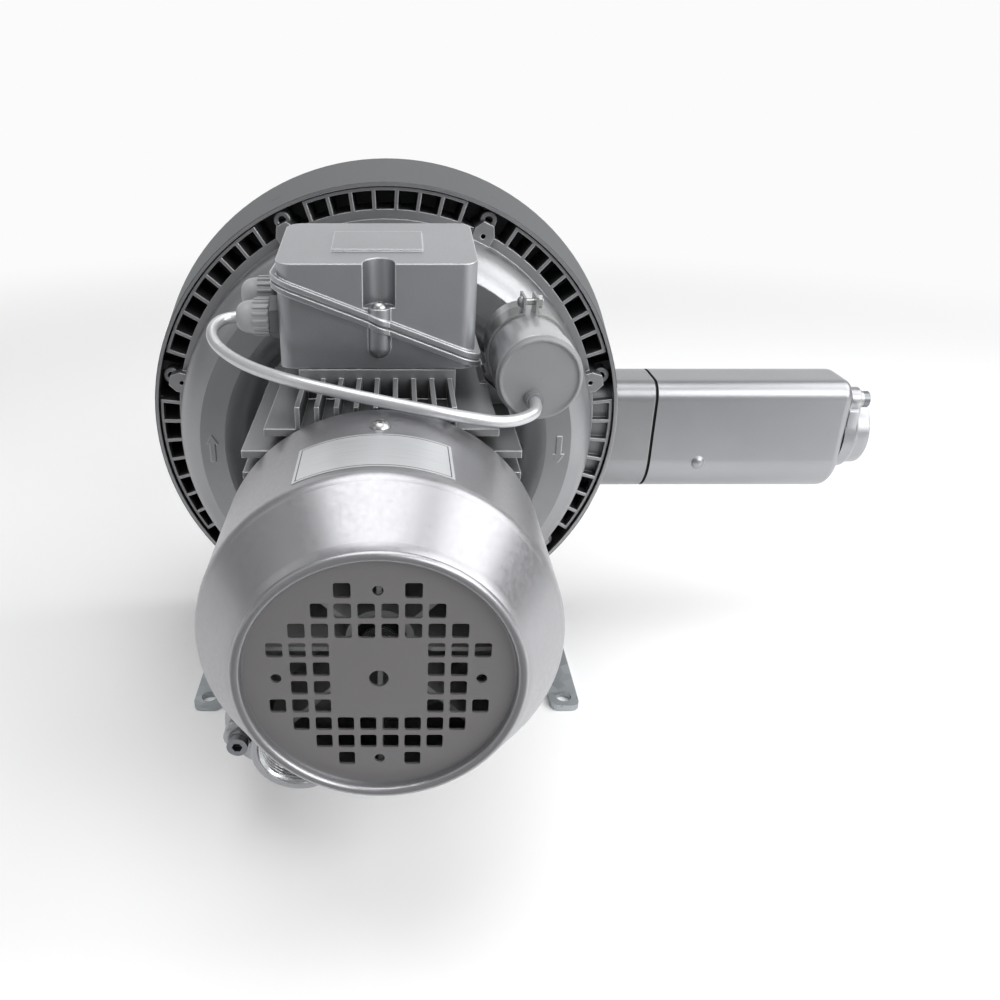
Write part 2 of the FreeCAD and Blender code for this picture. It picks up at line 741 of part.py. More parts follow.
def silencer_section(x_from, x_to, inset):
    """The silencer's outline drawn along X about its own axis, or its inside when inset."""
    deep = silencer_deep / 2 - inset
    tall = silencer_tall / 2 - inset
    small = max(silencer_small_corner - inset, 1.0)
    large = max(silencer_large_corner - inset, 1.0)
    steps = rounded_steps(-deep, deep, -tall, tall, large, small, large)
    face = Part.Face(wire_of(steps, lambda y, z: Vector(x_from, y, z)))
    return face.extrude(Vector(x_to - x_from, 0, 0))


def to_outlet(shape):
    """From the silencer's own axis to the outlet's."""
    copy = shape.copy()
    copy.translate(Vector(outlet_face_x, outlet_y, outlet_z))
    return copy


def to_inlet(shape):
    """From the silencer's own axis to the inlet's, which points towards the motor."""
    copy = shape.copy()
    copy.rotate(Vector(), Vector(0, 0, 1), -90)
    copy.rotate(Vector(), Vector(0, 1, 0), 90)
    copy.translate(Vector(inlet_x, inlet_face_y, inlet_z))
    return copy


def ports():
    """How each silencer is placed, and how far its oval flange is turned from upright."""
    return ((to_outlet, outlet_tilt), (to_inlet, inlet_tilt))


def tilted(shape, tilt):
    """A copy of a shape turned about the silencer's axis."""
    copy = shape.copy()
    copy.rotate(Vector(), Vector(1, 0, 0), tilt)
    return copy


def flow_arrow():
    """Raised arrow on the annulus at the top, pointing clockwise."""
    front = channel_front()
    steps = [(-10, -2), (4, -2), (4, -4.5), (11, 0), (4, 4.5), (4, 2), (-10, 2)]
    middle = (annulus_inner_radius + annulus_outer_radius) / 2
    placed = [(x, z + middle) for x, z in steps]
    return prism(placed, front - 0.8, front + 1)


def channel_front():
    return chamber_front_y - channel_radius - crown_wall


def casing_lug():
    """Tapered lug between two sectors, which takes a cover bolt from behind."""
    steps = [(-3.8, 9.5), (3.8, 9.5), (7.8, 3), (7, -9), (-7, -9), (-7.8, 3)]
    placed = [(x, z + lug_circle) for x, z in steps]
    stay = block(-4, 4, pocket_floor_y - 14, split_y, lug_circle, rim_outside(pocket_floor_y) - rim_wall + 1)
    return prism(placed, lug_front_y, split_y).fuse(stay)


def casing_ribs():
    """Radial ribs between the shell and the rim, in sectors that leave room for the lugs."""
    taper = (rim_rear_radius - rim_front_radius) / (rim_rear_y - rim_front_y)
    step_y = slot_face_y + frame_depth + 1
    front = rim_front_radius - rim_wall + 1 + taper * (step_y - rim_front_y)
    rear = rim_rear_radius - rim_wall + 1 - taper * 2
    inner = land_radius - 1
    edge = frame_outer_radius - 0.5
    outline = [(inner, slot_face_y), (edge, slot_face_y), (edge, step_y), (front, step_y),
               (rear, rim_rear_y - 2), (inner + 5, rim_rear_y - 2), (inner + 5, split_y - 0.5),
               (inner, split_y - 0.5)]
    half = rib_thickness / 2
    face = Part.Face(wire_of(outline, lambda radius, y: Vector(-half, y, radius)))
    rib = face.extrude(Vector(rib_thickness, 0, 0))
    ribs = []
    for sector in range(sector_count):
        middle = 360.0 * sector / sector_count
        for k in range(ribs_per_sector):
            ribs.append(at_angle(rib, middle + (k - (ribs_per_sector - 1) / 2) * rib_pitch_angle))
        sweep = (ribs_per_sector - 1) * rib_pitch_angle + 0.8
        ribs.append(ring(frame_outer_radius - frame_width, frame_outer_radius, slot_face_y,
                         slot_face_y + frame_depth, start=middle - sweep / 2, sweep=sweep))
    return ribs


def casing_housing():
    """Motor side of the casing: web, half torus, chamber wall, ribbed rim, lugs, ports and legs."""
    shell_radius = chamber_radius + casing_wall
    front = channel_front()
    inner_foot = channel_centre_radius - channel_radius - casing_wall
    web_front = chamber_front_y - web_thickness
    shell = turned(
        (shield_spigot_radius, web_front), (inner_foot, web_front),
        (inner_foot + 1, web_front - 4), ((inner_foot + 9, front + 6), (annulus_inner_radius, front)),
        (annulus_outer_radius, front), ((shell_radius - 5, front + 11.5), (shell_radius, chamber_front_y + 5)),
        (shell_radius, slot_face_y), (land_radius, slot_face_y), (land_radius, split_y),
        (chamber_radius, split_y), (chamber_radius, chamber_front_y),
        (shield_spigot_radius, chamber_front_y))
    rim = turned(
        (rim_front_radius - rim_wall, rim_front_y), (rim_front_radius, rim_front_y),
        (rim_rear_radius, rim_rear_y), (rim_rear_radius - rim_wall, rim_rear_y))
    floor_from = rim_outside(pocket_floor_y) - rim_wall + 0.8
    floor_to = rim_outside(split_y) - rim_wall + 0.8
    pocket_floor = turned((land_radius - 1, pocket_floor_y), (floor_from, pocket_floor_y),
                          (floor_to, split_y), (land_radius - 1, split_y))
    lugs = [at_angle(casing_lug(), angle) for angle in sector_angles()]
    half = leg_width / 2
    pad_room = turned((rim_front_radius - leg_pad_depth, leg_front_y), (rim_outside(leg_front_y), leg_front_y),
                      (rim_outside(leg_rear_y), leg_rear_y), (rim_front_radius - leg_pad_depth, leg_rear_y))
    pads = [block(x - half, x + half, leg_front_y, leg_rear_y, -rim_rear_radius, -100).common(pad_room)
            for x in (-leg_x, leg_x)]
    body = shell.fuse([rim, pocket_floor] + casing_ribs() + lugs + pads)

    outlet_outer = to_outlet(silencer_section(outlet_root_x - outlet_face_x, 0, 0))
    outlet_inner = to_outlet(silencer_section(outlet_root_x - outlet_face_x, 1, port_wall))
    inlet_outer = to_inlet(silencer_section(inlet_face_y - inlet_root_y, 0, 0))
    inlet_inner = to_inlet(silencer_section(inlet_face_y - inlet_root_y + port_wall, 1, port_wall))
    far = 250.0
    cover_room = along_y(shell_radius + 2.5, split_y, far)
    back_wall = ring(shell_radius + 2, shell_radius + 2 + port_wall, split_y - 4, far).common(outlet_outer)
    inside = along_y(shell_radius, chamber_front_y, far)
    body = body.cut([outlet_inner.cut(inside), inlet_inner.cut(shell)])
    walls = [outlet_outer.cut([outlet_inner, inside]), back_wall, inlet_outer.cut([inlet_inner, inside])]
    for place, tilt in ports():
        for post in port_posts(tilt):
            walls.append(place(post).cut(inside))
    body = body.fuse(walls)
    for place, tilt in ports():
        body = body.cut([place(hole) for hole in port_post_holes(tilt)])

    window = block(chamber_radius - 16, land_radius + 2, outlet_y - silencer_deep / 2 + port_wall,
                   split_y - 4, outlet_z - silencer_tall / 2 + port_wall,
                   outlet_z + silencer_tall / 2 - port_wall)
    duct = along_y(inlet_duct_radius, inlet_face_y - 1, chamber_front_y + 1, x=inlet_x, z=inlet_z)
    cuts = [cover_room, window, duct, channel_groove(chamber_front_y, -1),
            along_y(chamber_radius, chamber_front_y, split_y + 1)]
    for angle in sector_angles():
        cuts.append(at_angle(along_y(cover_bolt_radius + thread_gap, cover_bolt_tip_y() - 1, split_y + 1,
                                     z=lug_circle), angle))
        cuts.append(at_angle(along_y(1.7, lug_front_y - 1, cover_bolt_tip_y(), z=lug_circle), angle))
        cuts.append(at_angle(along_y(lug_radius + 1, split_y, rim_rear_y + 1, z=lug_circle), angle))
    face_holes = along_y(flange_bolt_radius + thread_gap, web_front - 1, chamber_front_y - 1.5,
                         z=shield_ear_circle)
    cuts += [at_angle(face_holes, 45 + 90 * k) for k in range(4)]
    for x, y in leg_screw_places():
        cuts.append(cylinder(leg_bolt_radius + thread_gap, Vector(x, y, -shaft_height), Vector(0, 0, 1),
                             shaft_height + leg_screw_tip_z()))
    arrows = [at_angle(flow_arrow(), angle) for angle in (90, 270)]
    return body.cut(cuts).fuse(arrows).removeSplitter()


def rim_outside(y):
    """The rim's outer radius at a place along the shaft."""
    share = (y - rim_front_y) / (rim_rear_y - rim_front_y)
    return rim_front_radius + share * (rim_rear_radius - rim_front_radius)


def leg_bolt_places():
    """Bolts outside and inside each leg, through its flange."""
    middle = (leg_front_y + leg_rear_y) / 2
    across = (leg_width + leg_flange_width) / 4
    return [(side * leg_x + step, middle) for side in (-1, 1) for step in (-across, across)]


def port_posts(tilt):
    """Screw posts in the corners of a port, in the silencer's own axes."""
    return [cylinder(6.5, Vector(-20, y, z), Vector(1, 0, 0), 20).common(silencer_section(-20, 0, 1.0))
            for y, z in silencer_screw_places(tilt)]


def port_post_holes(tilt):
    return [cylinder(2.5 + thread_gap, Vector(-14, y, z), Vector(1, 0, 0), 15)
            for y, z in silencer_screw_places(tilt)]


def leg_screw_places():
    """Two upright screws in each leg, into the rim's pads."""
    middle = (leg_front_y + leg_rear_y) / 2
    return [(side * leg_x, middle + step * leg_screw_spread / 2) for side in (-1, 1) for step in (-1, 1)]


def leg_screw_tip_z():
    """Height that the leg screws reach, inside the pads."""
    return -math.sqrt((rim_outside(leg_front_y) - leg_pad_depth) ** 2 - leg_x ** 2) - 1.0


def leg_foot_z():
    """Underside of the legs, on the cross plate."""
    return -shaft_height + rail_thickness + plate_thickness


def casing_legs():
    """Two cast legs that follow the rim and stand on the cross plate."""
    foot = leg_foot_z()
    gap = seat_gap
    rim_room = turned((0, rim_front_y), (rim_front_radius + gap, rim_front_y),
                      (rim_rear_radius + gap, rim_rear_y), (0, rim_rear_y))
    legs = []
    for side in (-1, 1):
        x = side * leg_x
        half = leg_width / 2
        leg = block(x - half, x + half, leg_front_y, leg_rear_y, foot, -rim_front_radius * 0.6)
        half = leg_flange_width / 2
        flange = block(x - half, x + half, leg_front_y, leg_rear_y, foot, foot + leg_flange)
        leg = leg.fuse(flange).cut(rim_room)
        cuts = [cylinder(leg_bolt_radius + bolt_gap, Vector(bx, by, foot - 1), Vector(0, 0, 1), 30)
                for bx, by in leg_bolt_places()]
        for sx, sy in leg_screw_places():
            cuts.append(cylinder(leg_bolt_radius + bolt_gap, Vector(sx, sy, foot - 1), Vector(0, 0, 1), 90))
            cuts.append(cylinder(7.0, Vector(sx, sy, foot - 1), Vector(0, 0, 1), 10))
        legs.append(leg.cut(cuts).removeSplitter())
    return group(legs)


def leg_screws():
    """Cap screws, heads sunk in the legs' undersides."""
    seat = leg_foot_z() + 9
    length = leg_screw_tip_z() - seat - 1.0
    return group([cap_screw(leg_bolt_radius, length, 6.5, 8.0, Vector(x, y, seat), Vector(0, 0, 1))
                  for x, y in leg_screw_places()])


def casing_cover():
    """Cover of the impeller chamber with the second half of the side channel, ribs and seven lugs."""
    shell_radius = chamber_radius + casing_wall
    rear = chamber_rear_y + channel_radius + casing_wall
    inner_foot = channel_centre_radius - channel_radius - casing_wall
    web_rear = chamber_rear_y + web_thickness
    spigot = chamber_radius - seat_gap
    start = split_y
    body = turned(
        (0, chamber_rear_y), (spigot, chamber_rear_y), (spigot, start), (shell_radius, start),
        (shell_radius, start + cover_flange), (shell_radius - 6, start + cover_flange + 2),
        ((annulus_outer_radius + 12, rear - 2), (annulus_outer_radius, rear)), (annulus_inner_radius, rear),
        ((inner_foot + 9, rear - 6), (inner_foot + 1, web_rear + 4)), (inner_foot, web_rear),
        (42, web_rear), (30, web_rear + 10), (0, web_rear + 10))
    rib = block(-2, 2, web_rear - 1, web_rear + 10, 26, inner_foot + 4)
    ribs = [at_angle(rib, 30 * k) for k in range(12)]
    lug = along_y(lug_radius, start, start + cover_flange + 8, z=lug_circle)
    web = block(-lug_radius, lug_radius, start, start + cover_flange, chamber_radius - 8, lug_circle)
    lugs = [at_angle(piece, angle) for angle in sector_angles() for piece in (lug, web)]
    hole = along_y(cover_bolt_radius + bolt_gap, start - 1, start + cover_flange + 9, z=lug_circle)
    cuts = [at_angle(hole, angle) for angle in sector_angles()]
    cuts.append(channel_groove(chamber_rear_y, 1))
    cuts.append(turned((0, chamber_rear_y - 1), (28, chamber_rear_y - 1), (28, chamber_rear_y + 4),
                       (0, chamber_rear_y + 4)))
    return body.fuse(ribs + lugs).cut(cuts).removeSplitter()


def cover_bolt_tip_y():
    return split_y - 26.0


def cover_bolts():
    """Bolts from behind through the cover's lugs into the housing's."""
    seat = split_y + cover_flange + 8
    bolt = cap_screw(cover_bolt_radius, seat - cover_bolt_tip_y(), 5.0, 6.0, Vector(0, seat, lug_circle),
                     Vector(0, -1, 0))
    return group([at_angle(bolt, angle) for angle in sector_angles()])


# Silencers

def silencer_body(tilt):
    """Cast hood, open towards the casing, with a thick end that takes the port flange."""
    outer = silencer_section(gasket_thickness, silencer_length, 0)
    far_edges = [edge for edge in outer.Edges
                 if all(abs(vertex.X - silencer_length) < tiny for vertex in edge.Vertexes)]
    outer = outer.makeFillet(silencer_end_round, far_edges)
    inner = silencer_section(gasket_thickness - 1, silencer_length - silencer_end_wall, silencer_wall)
    bosses = []
    for y, z in silencer_screw_places(tilt):
        post = cylinder(5.0, Vector(gasket_thickness, y, z), Vector(1, 0, 0),
                        silencer_length - gasket_thickness - 4)
        bosses.append(post.common(silencer_section(0, silencer_length, silencer_wall / 2)))
    blister = Part.makeSphere(7.0, Vector(41, -silencer_deep / 2 + 4.5, -17))
    body = outer.fuse(blister).cut(inner).fuse(bosses)
    along = Vector(1, 0, 0)
    start = silencer_length - silencer_end_wall - 1
    cuts = [cylinder(port_bore_radius, Vector(start, 0, 0), along, silencer_end_wall + 2)]
    for z in (-port_bolt_spread, port_bolt_spread):
        cuts.append(tilted(cylinder(port_bolt_radius + thread_gap, Vector(start, 0, z), along, 20), tilt))
    for y, z in silencer_screw_places(tilt):
        cuts.append(cylinder(2.5 + bolt_gap, Vector(0, y, z), along, silencer_length + 1))
        cuts.append(cylinder(4.6, Vector(silencer_length - 12, y, z), along, 20))
    return body.cut(cuts).removeSplitter()


def silencer_screw_places(tilt):
    """Four long screws near the corners hold the hood; a turned flange moves the far lower one inwards."""
    near_y = silencer_deep / 2 - 8.7
    near_z = silencer_tall / 2 - 8.7
    low_y = silencer_deep / 2 - 16
    low_z = silencer_tall / 2 - 13.5
    far_low = (6.0, -silencer_tall / 2 + 7.5) if tilt else (low_y, -low_z)
    return [(low_y, low_z), (-near_y, near_z), far_low, (-low_y, -low_z)]


def silencer_screws(tilt):
    along = Vector(-1, 0, 0)
    screws = []
    for y, z in silencer_screw_places(tilt):
        seat = Vector(silencer_length - 12, y, z)
        screws.append(cap_screw(2.5, silencer_length, 4.2, 5.0, seat, along))
    return screws


def silencer_gasket(tilt):
    outline = silencer_section(0, gasket_thickness, 1.0).cut(silencer_section(-1, 3, port_wall))
    pads = [cylinder(5.0, Vector(0, y, z), Vector(1, 0, 0), gasket_thickness)
            .common(silencer_section(0, gasket_thickness, 1.0)) for y, z in silencer_screw_places(tilt)]
    holes = [cylinder(2.5 + bolt_gap, Vector(-1, y, z), Vector(1, 0, 0), 5)
             for y, z in silencer_screw_places(tilt)]
    return outline.fuse(pads).cut(holes).removeSplitter()


def silencer_foam(tilt):
    """Sound-absorbing sleeve, cut clear of the screw posts."""
    end = silencer_length - silencer_end_wall - seat_gap
    outer = silencer_section(gasket_thickness + 3, end, silencer_wall + seat_gap)
    inner = silencer_section(gasket_thickness, end + 1, silencer_wall + foam_thickness)
    posts = [cylinder(5.0 + seat_gap, Vector(0, y, z), Vector(1, 0, 0), silencer_length)
             for y, z in silencer_screw_places(tilt)]
    bolts = [tilted(cylinder(port_bolt_radius + 1, Vector(silencer_length - 30, 0, z), Vector(1, 0, 0), 30), tilt)
             for z in (-port_bolt_spread, port_bolt_spread)]
    return outer.cut([inner] + posts + bolts)


def port_flange(tilt):
    """Oval two-bolt flange with a round collar for the pipe thread."""
    start = silencer_length
    along = Vector(1, 0, 0)
    parts = [cylinder(port_ring_radius, Vector(start, 0, 0), along, port_ring_length)]
    for side in (-1, 1):
        z = side * port_bolt_spread
        parts.append(cylinder(port_ear_radius, Vector(start, 0, z), along, port_flange_thickness))
        steps = [(-port_ear_radius, z), (port_ear_radius, z), (port_ring_radius - 3, side * 10),
                 (-port_ring_radius + 3, side * 10)]
        face = Part.Face(wire_of(steps, lambda y, w: Vector(start, y, w)))
        parts.append(face.extrude(Vector(port_flange_thickness, 0, 0)))
    cuts = [cylinder(port_bore_radius, Vector(start - 1, 0, 0), along, port_ring_length + 2)]
    for side in (-1, 1):
        cuts.append(cylinder(port_bolt_radius + bolt_gap, Vector(start - 1, 0, side * port_bolt_spread),
                             along, port_flange_thickness + 2))
    return tilted(joined(parts).cut(cuts), tilt)


def port_bolts(tilt):
    seat = silencer_length + port_flange_thickness
    return [tilted(cap_screw(port_bolt_radius, port_flange_thickness + 12, 6.5, 8.0,
                             Vector(seat, 0, side * port_bolt_spread), Vector(-1, 0, 0)), tilt)
            for side in (-1, 1)]


# Foot frame

def foot_rails():
    """Two flat rails along the shaft, each with a hole at both ends for the floor bolts."""
    floor = -shaft_height
    half = rail_width / 2
    top = floor + rail_thickness
    rails = []
    for side in (-1, 1):
        x = side * foot_hole_x
        rail = upright(x - half, x + half, -rail_length / 2, rail_length / 2, floor, top, 6.0)
        holes = [cylinder(foot_hole_radius, Vector(x, end * foot_hole_y, floor - 1), Vector(0, 0, 1),
                          rail_thickness + 2) for end in (-1, 1)]
        rails.append(rail.cut(holes + plate_holes()))
    return group(rails)


def cross_plate():
    """Flat plate across the rails that the casing's legs are bolted to."""
    reach = foot_hole_x + rail_width / 2 - 3
    floor = -shaft_height + rail_thickness
    plate = upright(-reach, reach, leg_front_y - 2, leg_rear_y - 12, floor, floor + plate_thickness, 4.0)
    return plate.cut(plate_holes())


def plate_holes():
    return [cylinder(leg_bolt_radius + thread_gap, Vector(x, y, -shaft_height - 1), Vector(0, 0, 1),
                     rail_thickness + plate_thickness + 2) for x, y in leg_bolt_places()]


def leg_bolts():
    """Hexagon bolts through the legs' flanges, the plate and, outside, the rails."""
    seat = leg_foot_z() + leg_flange
    bolts = []
    for x, y in leg_bolt_places():
        length = leg_flange + plate_thickness - 0.5
        if abs(x) > leg_x:
            length += rail_thickness
        bolts.append(hexagon(6.5, Vector(x, y, seat), Vector(0, 0, 1), 5.5)
                     .fuse(cylinder(leg_bolt_radius, Vector(x, y, seat), Vector(0, 0, -1), length)))
    return group(bolts)


# Terminal box

def parting_layer(low, high, grow):
    """The part of the box's outline between two heights above the slanted parting plane."""
    left = box_centre_x - box_width / 2
    slab = block(-150, 150, -300, 300, low, high)
    slab.rotate(Vector(), Vector(0, 1, 0), parting_slope)
    slab.translate(Vector(box_centre_x, 0, parting_centre_z))
    outline = upright(left - grow, left + box_width + grow, box_front_y - grow,
                      box_front_y + box_depth + grow, 40, 240, box_corner + min(grow, 0) + max(grow, 0))
    return outline.common(slab)


def lid_top_room(offset):
    """Everything above the lid's sloping top, lowered by an offset."""
    room = block(-200, 200, 0, 300, 0, 200)
    room = room.fuse(block(-200, 200, -200, 0, 0, 200))
    room.rotate(Vector(), Vector(1, 0, 0), lid_slope)
    room.translate(Vector(0, box_front_y, lid_front_z - offset))
    return room


def screw_boss(z_from, z_to, radius=None):
    """Round boss on the front wall for the lid's screw."""
    return cylinder(radius or boss_radius, Vector(boss_x, box_front_y + 1.5, z_from), Vector(0, 0, 1),
                    z_to - z_from)


def terminal_box_base():
    """Lower half with a slanted rim, a front boss and a floor with a cable opening."""
    body = parting_layer(-90, 0, 0).common(block(-100, 100, -200, 0, box_floor_z, 200))
    inside = parting_layer(-90, 1, -box_wall).common(block(-100, 100, -200, 0, box_floor_z + 4, 200))
    rim = parting_layer(-box_rim_thickness, 0, box_rim_width)
    below = parting_layer(-90, 0, box_rim_width + 10)
    boss = screw_boss(boss_bottom_z + boss_radius, 150).common(below)
    boss = boss.fuse(Part.makeSphere(boss_radius, Vector(boss_x, box_front_y + 1.5,
                                                        boss_bottom_z + boss_radius)))
    collar = screw_boss(100, 150, boss_radius + 1.0).common(
        parting_layer(-box_rim_thickness, 0, box_rim_width + 10))
    floor_hole = cylinder(11.0, Vector(box_centre_x, box_front_y + box_depth / 2, box_floor_z - 1),
                          Vector(0, 0, 1), 10)
    cuts = [inside, floor_hole]
    for place in box_screw_places(box_floor_z - 1):
        cuts.append(cylinder(lid_screw_radius + bolt_gap, place, Vector(0, 0, 1), 8))
    for y, z in zip(gland_y, gland_z):
        cuts.append(cylinder(gland_thread_radius, Vector(-80, y, z), Vector(1, 0, 0), 30))
    body = body.fuse([rim, collar]).cut(cuts)
    keep = boss.cut(block(-20, 20, box_front_y + 1.5 + boss_radius, 0, 90, 160))
    tap = screw_boss(boss_bottom_z + 6, 150, lid_screw_radius + thread_gap)
    return body.fuse(keep).cut(tap).removeSplitter()


def terminal_box_lid():
    """Upper half with the matching rim, a screw notch in front and a blank raised panel on top."""
    gap = box_gasket
    outside = parting_layer(gap, 120, 0).cut(lid_top_room(0))
    inside = parting_layer(gap - 1, 120, -box_wall).cut(lid_top_room(box_wall))
    rim = parting_layer(gap, gap + box_rim_thickness, box_rim_width)
    above = parting_layer(gap, 120, box_rim_width + 10)
    boss = screw_boss(100, lid_screw_seat_z).common(above)
    collar = screw_boss(100, 150, boss_radius + 1.0).common(
        parting_layer(gap, gap + box_rim_thickness, box_rim_width + 10))
    notch = screw_boss(lid_screw_seat_z, 200, lid_notch_radius)
    notch_wall = screw_boss(lid_screw_seat_z - 3, 200, lid_notch_radius + 2.5).common(outside)
    panel = block(box_centre_x - 26, box_centre_x + 26, box_front_y + 22, box_front_y + 56,
                  -1, 1.2)
    panel.rotate(Vector(0, box_front_y, 0), Vector(1, 0, 0), lid_slope)
    panel.translate(Vector(0, 0, lid_front_z))
    rear = box_front_y + box_depth
    tab = block(box_centre_x - 11, box_centre_x + 11, rear - 4, rear + 3, lid_front_z + 2, lid_front_z + 9)
    hole = screw_boss(100, 200, lid_screw_radius + bolt_gap)
    body = outside.cut(inside).fuse([rim.cut(inside), notch_wall])
    return body.cut(notch).fuse([boss, collar, panel, tab]).cut([hole, notch]).removeSplitter()


def terminal_box_gasket():
    """Flat seal between the two rims."""
    outline = parting_layer(0, box_gasket, box_rim_width - 0.6)
    collar = screw_boss(100, 150, boss_radius).common(parting_layer(0, box_gasket, box_rim_width + 10))
    inside = parting_layer(-1, box_gasket + 1, -box_wall)
    hole = screw_boss(100, 200, lid_screw_radius + bolt_gap)
    return outline.fuse(collar).cut([inside, hole]).removeSplitter()


def terminal_box_screws():
    """One lid screw in front and four screws into the plinth."""
    seat = Vector(boss_x, box_front_y + 1.5, lid_screw_seat_z)
    screws = [pan_screw(lid_screw_radius, lid_screw_seat_z - boss_bottom_z - 8, 4.6, 3.4, seat,
                        Vector(0, 0, -1))]
    for place in box_screw_places(box_floor_z + 4):
        screws.append(pan_screw(lid_screw_radius, 16.0, 4.2, 2.6, place, Vector(0, 0, -1)))
    return group(screws)


def terminal_block():
    """Moulded block with six studs, on the box's floor beside the cable opening."""
    y = box_front_y + 12
    base = block(box_centre_x - 28, box_centre_x + 28, y, y + 13, box_floor_z + 4, box_floor_z + 10)
    walls = [block(box_centre_x - 28 + 11 * k, box_centre_x - 26.4 + 11 * k, y, y + 13,
                   box_floor_z + 10, box_floor_z + 14) for k in range(6)]
    return joined([base] + walls)


def terminal_studs():
    y = box_front_y + 18.5
    studs = []
    for k in range(5):
        x = box_centre_x - 28 + 11 * k + 6.3
        studs.append(hexagon(3.0, Vector(x, y, box_floor_z + 10), Vector(0, 0, 1), 3.0)
                     .fuse(cylinder(1.8, Vector(x, y, box_floor_z + 10), Vector(0, 0, 1), 6.0)))
    return group(studs)


# Cable glands and the lead to the capacitor

def gland_solids():
    """Bodies, domed nuts and seals for both glands; the spare one is closed by a plug."""
    wall = box_centre_x - box_width / 2
    out = Vector(-1, 0, 0)
    bodies = []
    nuts = []
    seals = []
    for k, (y, z) in enumerate(zip(gland_y, gland_z)):
        seat = Vector(wall, y, z)
        body = cylinder(gland_thread_radius - seat_gap, Vector(wall + 9, y, z), out, 9 + gland_nut_length)
        body = body.fuse(hexagon(gland_hex_radius, seat, out, gland_hex_length))
        bodies.append(body.cut(cylinder(5.6, Vector(wall + 10, y, z), out, 30)))
        start = Vector(wall - gland_hex_length - 0.3, y, z)
        dome = cylinder(gland_nut_radius, start, out, gland_nut_length - 5)
        cone = Part.makeCone(gland_nut_radius, 5.8, 5.0,
                             Vector(wall - gland_hex_length - 0.3 - gland_nut_length + 5, y, z), out)
        nut = dome.fuse(cone).cut([cylinder(gland_thread_radius, start, out, gland_nut_length - 5),
                                   cylinder(4.6, start, out, gland_nut_length + 1)])
        nuts.append(nut)
        seal = cylinder(4.5, Vector(wall - 2, y, z), out, gland_nut_length + gland_hex_length - 2.2)
        if k == 0:
            seal = seal.cut(cylinder(cable_radius, Vector(wall, y, z), out, gland_nut_length + 10))
        seals.append(seal)
    return group(bodies), group(nuts), group(seals)


def cable_route():
    """Points of the lead, from the lower gland over the fan cover's edge to the capacitor's face."""
    wall = box_centre_x - box_width / 2
    exit_x = wall - gland_hex_length - gland_nut_length + 4.2
    exit_y = gland_y[0]
    exit_z = gland_z[0]
    end_x = capacitor_x - capacitor_exit_shift
    end_z = capacitor_z - capacitor_exit_drop
    return [
        Vector(exit_x, exit_y, exit_z),
        Vector(exit_x - 9.7, exit_y, exit_z),
        Vector(exit_x - 17.1, exit_y - 8.4, exit_z - 2.5),
        Vector(exit_x - 16.9, exit_y - 20.0, exit_z - 7.5),
        Vector(exit_x - 6.7, exit_y - 32.5, exit_z - 13.0),
        Vector(-69.5, -172.0, 103.8),
        Vector(-42.0, -191.0, 102.0),
        Vector(-8.0, -200.5, 97.4),
        Vector(24.0, -206.0, 92.6),
        Vector(46.5, -204.0, 87.6),
        Vector(64.0, -197.5, 82.6),
        Vector(77.5, -188.5, end_z - 1.4),
        Vector(end_x, -179.5, end_z),
        Vector(end_x, capacitor_front_y - 5.0, end_z)]


def capacitor_cable():
    """Straight runs joined by tangent arcs, each as large as its two runs allow."""
    points = cable_route()
    edges = []
    here = points[0]
    for k in range(1, len(points) - 1):
        before = points[k].sub(points[k - 1])
        after = points[k + 1].sub(points[k])
        reach = 0.45 * min(before.Length, after.Length)
        turn = before.getAngle(after)
        radius = reach / math.tan(turn / 2)
        print("cable bend", k, "radius", round(radius, 1), "run", round(before.Length, 1))
        start = points[k].sub(Vector(before).normalize().multiply(reach))
        end = points[k].add(Vector(after).normalize().multiply(reach))
        inward = start.add(end).multiply(0.5).sub(points[k]).normalize()
        middle = points[k].add(inward.multiply(radius / math.cos(turn / 2) - radius))
        edges.append(Part.LineSegment(here, start).toShape())
        edges.append(Part.Arc(start, middle, end).toShape())
        here = end
    edges.append(Part.LineSegment(here, points[-1]).toShape())
    path = Part.Wire(edges)
    first = points[1].sub(points[0])
    circle = Part.Wire([Part.makeCircle(cable_radius - running_gap, points[0], first)])
    tube = path.makePipeShell([circle], True, True)
    expected = math.pi * (cable_radius - running_gap) ** 2 * path.Length
    print("cable length", round(path.Length, 1), "volume ratio", round(tube.Volume / expected, 4))
    return tube


# Capacitor

def capacitor_can():
    return along_y(capacitor_radius, capacitor_front_y + capacitor_cap_depth, capacitor_rear_y,
                   x=capacitor_x, z=capacitor_z)


def capacitor_cap():
    """Plastic cap with a stepped rim, pushed over the can's front end."""
    start = capacitor_front_y
    outer = capacitor_radius + 1.2
    body = along_y(outer, start + 3, start + capacitor_cap_depth, x=capacitor_x, z=capacitor_z)
    face = along_y(outer - 2, start, start + 4, x=capacitor_x, z=capacitor_z)
    dish = along_y(outer - 4.5, start - 1, start + 1.2, x=capacitor_x, z=capacitor_z)
    hole = along_y(capacitor_hole_radius, start - 1, start + capacitor_cap_depth - 6,
                   x=capacitor_x - capacitor_exit_shift, z=capacitor_z - capacitor_exit_drop)
    return body.fuse(face).cut([dish, hole]).removeSplitter()


def capacitor_grommet():
    """Rubber collar where the lead enters the cap."""
    x = capacitor_x - capacitor_exit_shift
    z = capacitor_z - capacitor_exit_drop
    start = capacitor_front_y - 5.0
    plug = along_y(capacitor_hole_radius - seat_gap, start + 2, start + 16, x=x, z=z)
    lip = along_y(capacitor_hole_radius - 0.6, start, start + 4, x=x, z=z)
    return plug.fuse(lip)


def from_top(shape):
    """From above the shaft to the capacitor's direction."""
    return at_angle(shape, capacitor_angle())


def capacitor_distance():
    return math.hypot(capacitor_x, capacitor_z)


